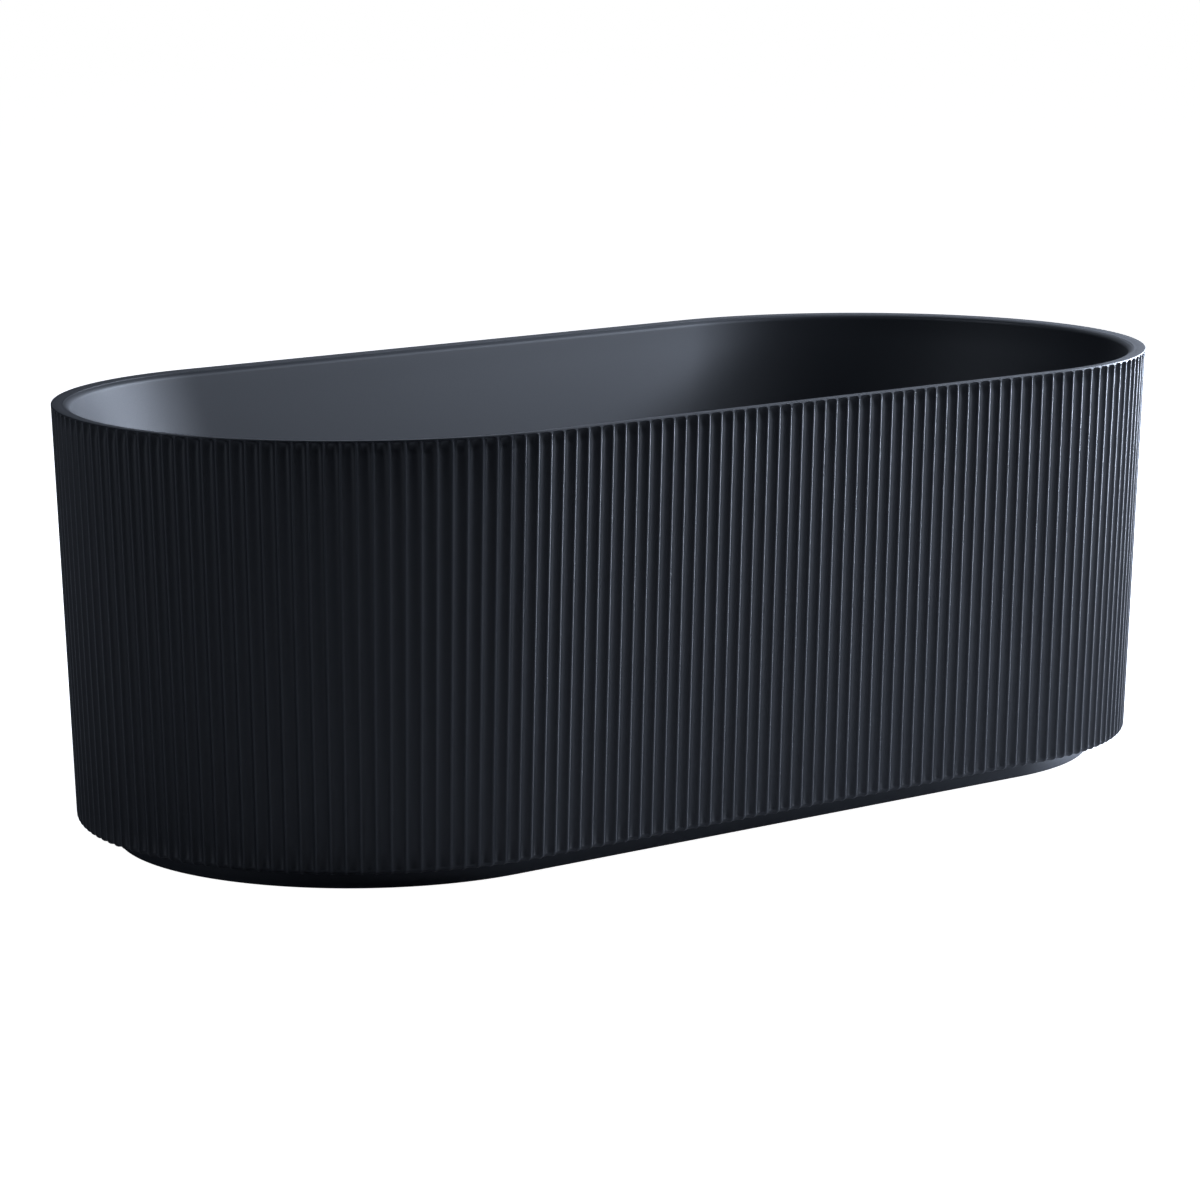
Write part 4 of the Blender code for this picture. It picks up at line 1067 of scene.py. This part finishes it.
def square_tube(name, node, holes):
    """A rounded square tube with its drilled holes. A hole is (x, y, radius, low, high)."""
    low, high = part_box(node)
    along_x = high.x - low.x > high.y - low.y
    start, end = (low.x, high.x) if along_x else (low.y, high.y)
    cross = (low.y + high.y) / 2 if along_x else (low.x + high.x) / 2
    rise = (low.z + high.z) / 2
    half = (high.z - low.z) / 2

    def section(half, corner, place):
        row = []
        for quarter in range(4):
            for step in range(6):
                angle = math.pi / 2 * (quarter + step / 5)
                turn = math.pi / 2 * quarter + math.pi / 4
                reach = (half - corner) * math.sqrt(2)
                across = reach * math.cos(turn) + corner * math.cos(angle)
                up = reach * math.sin(turn) + corner * math.sin(angle)
                at = (place, cross + across, rise + up) if along_x else (
                    cross + across, place, rise + up
                )
                row.append(bm.verts.new(at))
        return row

    bm = bmesh.new()
    ease = 0.0003
    inner = (half - TUBE_WALL, TUBE_CORNER - TUBE_WALL * 0.8)
    eased = (half - ease, TUBE_CORNER - ease)
    rows = [
        section(*inner, start),
        section(*eased, start),
        section(half, TUBE_CORNER, start + ease),
        section(half, TUBE_CORNER, end - ease),
        section(*eased, end),
        section(*inner, end),
    ]
    grid_faces(bm, rows)
    cutters = [rod(radius, foot, top, 32, (x, y)) for x, y, radius, foot, top in holes]
    piece(name, boolean(bm, cutters), "frame_paint", stands_for=[node], smooth=45)


def frame_work():
    rail_low, rail_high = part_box("frame_rail_left")
    bar_low, bar_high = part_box("crossbar_head")
    for side, numbers in (("left", (1, 2)), ("right", (3, 4))):
        holes = []
        for number in numbers:
            x, y = middle(f"board_screw_{number}")
            holes.append((x, y, SCREW_HOLE, rail_high.z - DRILL, rail_high.z + DRILL))
            holes.append((x, y, HEAD_HOLE, rail_low.z - DRILL, rail_low.z + DRILL))
        square_tube(f"welded_rail_{side}", f"frame_rail_{side}", holes)
    bars = (("head", (1, 2), (1, 2)), ("middle", (5,), ()), ("foot", (3, 4), (3, 4)))
    for bar, feet, bolts in bars:
        holes = []
        for number in feet:
            x, y = middle(f"foot_{number}_insert")
            holes.append((x, y, INSERT_RADIUS + GAP, bar_low.z - DRILL, bar_low.z + DRILL))
        for number in bolts:
            x, y = middle(f"crossbar_screw_{number}")
            holes.append((x, y, SCREW_HOLE, bar_high.z - DRILL, bar_high.z + DRILL))
        square_tube(f"tube_{bar}", f"crossbar_{bar}", holes)


def corner_brackets():
    """Bent angle brackets: the bend is round, and each leg has its screw's hole."""
    thick, bend = BRACKET_THICKNESS, BRACKET_BEND
    for number in range(1, 5):
        node = f"plinth_bracket_{number}"
        low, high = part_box(node)
        sign = 1 if low.y > 0 else -1
        tip, face = (low.y, high.y) if sign > 0 else (-high.y, -low.y)
        top, bottom = high.z, low.z

        def arc(reach, steps):
            for step in steps:
                angle = math.pi / 2 * step / 8
                across, up = reach * math.cos(angle), reach * math.sin(angle)
                yield face - bend + across, top - bend + up

        section = [
            (tip, top - thick),
            (tip, top),
            *arc(bend, range(8, -1, -1)),
            (face, bottom),
            (face - thick, bottom),
            *arc(bend - thick, range(9)),
        ]
        bm = bmesh.new()
        rows = []
        for x in (low.x, high.x):
            rows.append([bm.verts.new((x, sign * y, z)) for y, z in section])
        grid_faces(bm, rows, closed=False)
        for row in rows:
            bm.faces.new(row)
        x, y = middle(f"crossbar_screw_{number}")
        down = rod(SCREW_HOLE, top - 0.01, top + 0.01, 32, (x, y))
        screw_low, screw_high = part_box(f"plinth_screw_{number}")
        across = rod(SCREW_HOLE, -0.02, 0.02, 32)
        at = (x, sign * face, (screw_low.z + screw_high.z) / 2)
        across = moved(across, Matrix.Translation(at) @ Matrix.Rotation(math.pi / 2, 4, "X"))
        bm = boolean(bm, [down, across])
        piece(f"bent_bracket_{number}", bm, "zinc", stands_for=[node], smooth=30)


def chip_board():
    low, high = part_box("base_board")
    radius = (high.y - low.y) / 2
    straight = (high.x - low.x) / 2 - radius
    hole, ease = BOARD_HOLE_RADIUS, 0.0007
    places = outline(64)
    bm = bmesh.new()

    def circle(reach, height):
        return circle_row(bm, len(places), reach, height)

    def edge(inset, height):
        made = []
        for along, x, y in places:
            at = (along * straight + (radius - inset) * x, (radius - inset) * y, height)
            made.append(bm.verts.new(at))
        return made

    rows = [
        circle(hole, low.z + ease),
        circle(hole, high.z - ease),
        circle(hole + ease, high.z),
        edge(ease, high.z),
        edge(0, high.z - ease),
        edge(0, low.z + ease),
        edge(ease, low.z),
        circle(hole + ease, low.z),
    ]
    grid_faces(bm, rows)
    cutters = []
    for number in range(1, 5):
        x, y = middle(f"board_screw_{number}")
        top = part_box(f"board_screw_{number}")[1].z + GAP
        cutters.append(rod(SCREW_HOLE, low.z - 0.01, top, 32, (x, y)))
    bm = boolean(bm, cutters)
    piece("chip_board", bm, "base_board", stands_for=["base_board"], smooth=35)


def levelling_feet():
    for number in range(1, 6):
        name = body = f"foot_{number}"
        centre = middle(f"{name}_pad")
        socket = SOCKET_RADIUS
        pad = [
            (0, 0.0012), (0.0065, 0.0012), (0.0070, 0), (0.0115, 0), (0.0120, 0.0012),
            (0.0155, 0.0012), (0.0160, 0), (0.0240, 0), (0.0250, 0.0010), (0.0250, 0.0052),
            (0.0232, 0.0066), (0.0140, 0.0092), (0.0118, 0.0140), (socket, 0.0140),
            (socket, 0.0050), (0, 0.0050),
        ]
        bm = turned(rounded(pad, 0.0006, 3), 72, centre)
        piece(f"{name}_sole", bm, "foot_rubber", body, [f"{name}_pad"])
        low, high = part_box(f"{name}_stud")
        radius, pitch, start = STUD_RADIUS, STUD_PITCH, 0.0150
        rows = thread_rows(radius, pitch, start, high.z - 0.0012)
        profile = [(0, low.z), (radius, low.z), (radius, start - 0.001)]
        profile += rows + [(radius - 0.0011, high.z), (0, high.z)]
        bm = turned(profile, 28, centre, thread(pitch, 0.0008, start, high.z - 0.0010))
        piece(f"{name}_threaded_stud", bm, "zinc", body, [f"{name}_stud"])
        low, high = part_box(f"{name}_insert")
        flange = low.z + 0.0015
        insert = [
            (socket, low.z), (INSERT_FLANGE, low.z, 0.0004), (INSERT_FLANGE, flange, 0.0002),
            (INSERT_RADIUS, flange), (INSERT_RADIUS, high.z, 0.0005), (socket, high.z),
        ]
        bm = turned(rounded(insert, 0.0001, 3), 48, centre)
        piece(f"{name}_rivet_insert", bm, "zinc", stands_for=[f"{name}_insert"])
        low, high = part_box(f"{name}_lock_nut")
        profile, shape = hex_nut(LOCK_NUT_ACROSS_FLATS, socket, low.z, high.z, 0.0010)
        bm = turned(profile, 72, centre, shape)
        piece(f"{name}_hex_nut", bm, "zinc", stands_for=[f"{name}_lock_nut"], smooth=25)


# ---------------------------------------------------------------- waste and plug


def washer(name, node, bore, outside, round_edge):
    low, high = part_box(node)
    profile = [(bore, low.z), (outside, low.z), (outside, high.z), (bore, high.z)]
    bm = turned(rounded(profile, round_edge, 4), 96, middle(node))
    piece(name, bm, "seal_rubber", stands_for=[node])


def waste_fitting():
    low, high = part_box("waste_body")
    flange_bottom = high.z - 0.0028
    seat = FLANGE_RADIUS - 0.004
    start, end = low.z + 0.001, flange_bottom - 0.004
    tail = thread_rows(TAIL_RADIUS, TAIL_PITCH, start, end)
    crown = rounded([
        (TAIL_RADIUS, flange_bottom, 0.0),
        (FLANGE_RADIUS, flange_bottom, 0.0004),
        (FLANGE_RADIUS, high.z - 0.0008, 0.0006),
        (seat, high.z, 0.004),
        (TAIL_RADIUS + 0.001, high.z - 0.0001, 0.0015),
        (BORE_RADIUS, high.z - 0.0035, 0.0015),
        (BORE_RADIUS, low.z + 0.001, 0.0),
    ], 0.0004, 6)
    profile = [(BORE_RADIUS + 0.0006, low.z), (TAIL_RADIUS - 0.0008, low.z)] + tail + crown[:-1]
    profile.append((BORE_RADIUS, low.z + 0.001))
    bm = turned(profile, 96, shape=outside_thread(TAIL_PITCH, 0.0008, start, end))
    hub_top = high.z - HUB_DEPTH
    ring = rounded([
        (HUB_BORE, hub_top - HUB_HEIGHT),
        (HUB_RADIUS, hub_top - HUB_HEIGHT),
        (HUB_RADIUS, hub_top),
        (HUB_BORE, hub_top),
    ], 0.0005, 3)
    parts = [turned(ring, 48)]
    for number in range(4):
        spoke = block(
            (HUB_BORE + 0.001, -0.002, hub_top - HUB_HEIGHT + 0.001),
            (BORE_RADIUS + 0.0012, 0.002, hub_top - 0.001),
        )
        bmesh.ops.bevel(spoke, geom=spoke.edges[:], offset=0.0005, segments=2, affect="EDGES")
        parts.append(moved(spoke, Matrix.Rotation(math.pi / 2 * number + math.pi / 4, 4, "Z")))
    piece("waste_fitting", joined(bm, *parts), "waste_metal", stands_for=["waste_body"])


def outside_thread(pitch, depth, low, high):
    """As thread(), on the tail's outside only."""
    cut = thread(pitch, depth, low, high)

    def shape(angle, radius, height):
        return cut(angle, radius, height) if radius > BORE_RADIUS + 0.002 else radius
    return shape


def waste_and_plug():
    waste_fitting()
    thread_clear = TAIL_RADIUS + GAP
    washer("waste_upper_seal", "waste_top_gasket", thread_clear, 0.0335, 0.0008)
    washer("waste_lower_seal", "waste_bottom_gasket", thread_clear, 0.038, 0.0012)
    low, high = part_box("waste_back_nut")
    profile, shape = hex_nut(BACK_NUT_ACROSS_FLATS, thread_clear, low.z, high.z, 0.0018)
    bm = turned(profile, 96, shape=shape)
    piece("waste_clamp_nut", bm, "trap_plastic", stands_for=["waste_back_nut"], smooth=25)

    low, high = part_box("plug_cartridge")
    hub_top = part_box("waste_body")[1].z - HUB_DEPTH
    body_radius, bore, stem_bore = 0.0085, 0.0065, 0.0043
    lip = high.z - 0.002
    cartridge = [
        (0, low.z), (body_radius - 0.0008, low.z), (body_radius, low.z + 0.0012),
        (body_radius, hub_top + GAP), (0.0105, hub_top + GAP), (0.0105, hub_top + GAP + 0.002),
        (body_radius, hub_top + GAP + 0.002), (body_radius, high.z), (stem_bore, high.z),
        (stem_bore, lip), (bore, lip), (bore, low.z + 0.002), (0, low.z + 0.002),
    ]
    bm = turned(rounded(cartridge, 0.0003, 3), 60, shape=ribs(10, 0.0006, 0.0099, 0.6))
    piece("click_cartridge", bm, "cartridge_plastic", stands_for=["plug_cartridge"])

    low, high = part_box("plug_stem")
    collar = low.z + 0.0025
    stem = [
        (0, low.z), (0.0062, low.z), (0.0062, collar), (0.0040, collar),
        (0.0040, high.z - 0.0030, 0.0), (0.0036, high.z - 0.0026, 0.0), (0.0036, high.z, 0.0004),
        (0, high.z),
    ]
    bm = turned(rounded(stem, 0.0003, 3), 48)
    piece("turned_stem", bm, "stem_brass", "plug", ["plug_stem"])

    low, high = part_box("plug_cap")
    under = high.z - 0.0045
    cap = [
        (0, under + 0.0027), (0.0043, under + 0.0027), (0.0043, low.z), (0.0070, low.z, 0.0005),
        (0.0070, under, 0.0006), (0.0298, under, 0.0004), (0.0302, under + 0.0006, 0.0004),
        (0.0315, under + 0.0010, 0.0004), (0.0315, high.z - 0.0022, 0.0016),
        (0.0285, high.z - 0.0006, 0.0030), (0.0200, high.z - 0.0002, 0.0), (0.0110, high.z, 0.0),
        (0, high.z),
    ]
    bm = turned(rounded(cap, 0.0003, 6), 120)
    piece("domed_cap", bm, "waste_metal", "plug", ["plug_cap"], smooth=35)

    low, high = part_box("plug_seal")
    seal = [
        (0.0225, low.z + 0.0004), (0.0265, low.z + 0.0004, 0.0004), (0.0280, low.z, 0.0005),
        (0.0285, low.z + 0.0005, 0.0003), (0.0280, high.z, 0.0004), (0.0225, high.z, 0.0003),
    ]
    bm = turned(rounded(seal, 0.0003, 3), 96)
    piece("lip_seal", bm, "seal_rubber", "plug", ["plug_seal"])
    coil_spring()


def coil_spring():
    """Round wire with its last half turn at each end closed down flat, and its foot on the
    cartridge's floor."""
    low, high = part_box("plug_spring")
    wire, turns, per_turn, sides = 0.00055, 5, 28, 12
    reach = (high.x - low.x) / 2 - wire
    count = turns * per_turn
    bm = bmesh.new()
    rows = []
    flat = 0.5 / turns
    for step in range(count + 1):
        share = step / count
        climb = min(1.0, max(0.0, (share - flat) / (1 - 2 * flat)))
        height = low.z + wire + (high.z - low.z - 2 * wire) * climb
        angle = 2 * math.pi * turns * share
        row = []
        for side in range(sides):
            around = 2 * math.pi * side / sides
            radius = reach + wire * math.cos(around)
            up = height + wire * math.sin(around)
            row.append(bm.verts.new((radius * math.cos(angle), radius * math.sin(angle), up)))
        rows.append(row)
    grid_faces(bm, rows, closed=False)
    for row in (rows[0], rows[-1]):
        bm.faces.new(row)
    obj = piece("coil_spring", bm, "spring_steel", stands_for=["plug_spring"])
    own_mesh(obj)


# ---------------------------------------------------------------- trap

LIE_DOWN = Matrix.Rotation(-math.pi / 2, 4, "Y")  # turns +Z to -X


def trap():
    low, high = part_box("trap_union_nut")
    tail_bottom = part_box("waste_body")[0].z
    inlet_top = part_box("trap_body")[1].z
    flange_bottom = inlet_top - TRAP_FLANGE_THICKNESS
    catch = flange_bottom - GAP
    neck = TRAP_NECK_RADIUS + GAP
    union = [
        (neck, low.z), (UNION_NUT_RADIUS, low.z, 0.0012), (UNION_NUT_RADIUS, high.z, 0.0012),
        (TAIL_RADIUS + GAP, high.z), (TAIL_RADIUS + GAP, tail_bottom + GAP),
        (TRAP_FLANGE_RADIUS + GAP, tail_bottom + GAP), (TRAP_FLANGE_RADIUS + GAP, catch),
        (neck, catch),
    ]
    bm = turned(rounded(union, 0.0003, 4), 192, shape=ribs(16, 0.0018, 0.0325))
    piece("ribbed_union_nut", bm, "trap_plastic", stands_for=["trap_union_nut"], smooth=35)
    washer("trap_inlet_washer", "trap_washer", BORE_RADIUS, TRAP_FLANGE_RADIUS, 0.0006)

    low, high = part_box("trap_body")
    base, bowl, wall = low.z, 0.046, 0.003
    bowl_top = base + BOWL_SHARE * (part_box("trap_union_nut")[0].z - base)
    outer = rounded([
        (0, base), (0.0200, base), (0.0200, base + 0.0016, 0.0004), (0.0230, base + 0.0016, 0.0004),
        (0.0240, base + 0.0006, 0.0004), (bowl - 0.010, base + 0.0006, 0.004),
        (bowl, base + 0.010, 0.006), (bowl, bowl_top - 0.006, 0.004),
        (bowl - 0.006, bowl_top, 0.003), (TRAP_NECK_RADIUS, bowl_top, 0.003),
        (TRAP_NECK_RADIUS, flange_bottom, 0.0006), (TRAP_FLANGE_RADIUS, flange_bottom, 0.0004),
        (TRAP_FLANGE_RADIUS, inlet_top, 0.0004), (0, inlet_top),
    ], 0.0004, 5)
    spigot_low, spigot_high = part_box("trap_outlet_nut")
    axis_height = (spigot_low.z + spigot_high.z) / 2
    end = -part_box("trap_body")[0].x
    lie = Matrix.Translation((0, 0, axis_height)) @ LIE_DOWN
    spigot = moved(rod(0.0200, 0.02, end, 72), lie)
    body = boolean(turned(outer, 96), [spigot], "UNION")
    hollow = rounded([
        (0, base + wall), (bowl - 0.011, base + wall, 0.004), (bowl - wall, base + 0.011, 0.005),
        (bowl - wall, bowl_top - 0.007, 0.003), (bowl - 0.007, bowl_top - wall, 0.003),
        (BORE_RADIUS, bowl_top - wall, 0.001), (BORE_RADIUS, inlet_top + 0.01),
        (0, inlet_top + 0.01),
    ], 0.0004, 5)
    bore = moved(rod(0.0170, 0.010, end + 0.01, 72), lie)
    body = boolean(body, [turned(hollow, 96), bore])
    piece("bottle_trap", body, "trap_plastic", stands_for=["trap_body"], smooth=35)

    start, stop = -spigot_high.x, -spigot_low.x
    seal_end = -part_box("trap_outlet_seal")[0].x
    lip = 0.0180
    nut = [
        (0.0203, start), (0.0275, start, 0.0012), (0.0290, start + 0.003, 0.0008),
        (0.0290, stop, 0.0014), (lip, stop, 0.0004), (lip, seal_end + GAP),
        (0.0203, seal_end + GAP),
    ]
    bm = turned(rounded(nut, 0.0003, 4), 168, shape=ribs(14, 0.0016, 0.0272))
    bm = moved(bm, lie)
    piece("ribbed_outlet_nut", bm, "trap_plastic", stands_for=["trap_outlet_nut"], smooth=35)
    seal_low, seal_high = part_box("trap_outlet_seal")
    seal = [
        (0.0170, -seal_high.x), (0.0200, -seal_high.x),
        (0.0200, -seal_low.x), (0.0170, -seal_low.x),
    ]
    bm = turned(rounded(seal, 0.0006, 4), 72)
    piece("outlet_cone_seal", moved(bm, lie), "seal_rubber", stands_for=["trap_outlet_seal"])


def dress_cad_nodes():
    """Every CAD node takes the finish of its own slot."""
    for name, obj in NODES.items():
        look = LOOK[SLOT_OF[name]]
        obj.data.materials.clear()
        obj.data.materials.append(look)


# ---------------------------------------------------------------- build

camera()
lights()
stage_floor()
dress_cad_nodes()
basin()
fluted_skirt()
plinth_band()
screws()
frame_work()
corner_brackets()
chip_board()
levelling_feet()
waste_and_plug()
trap()
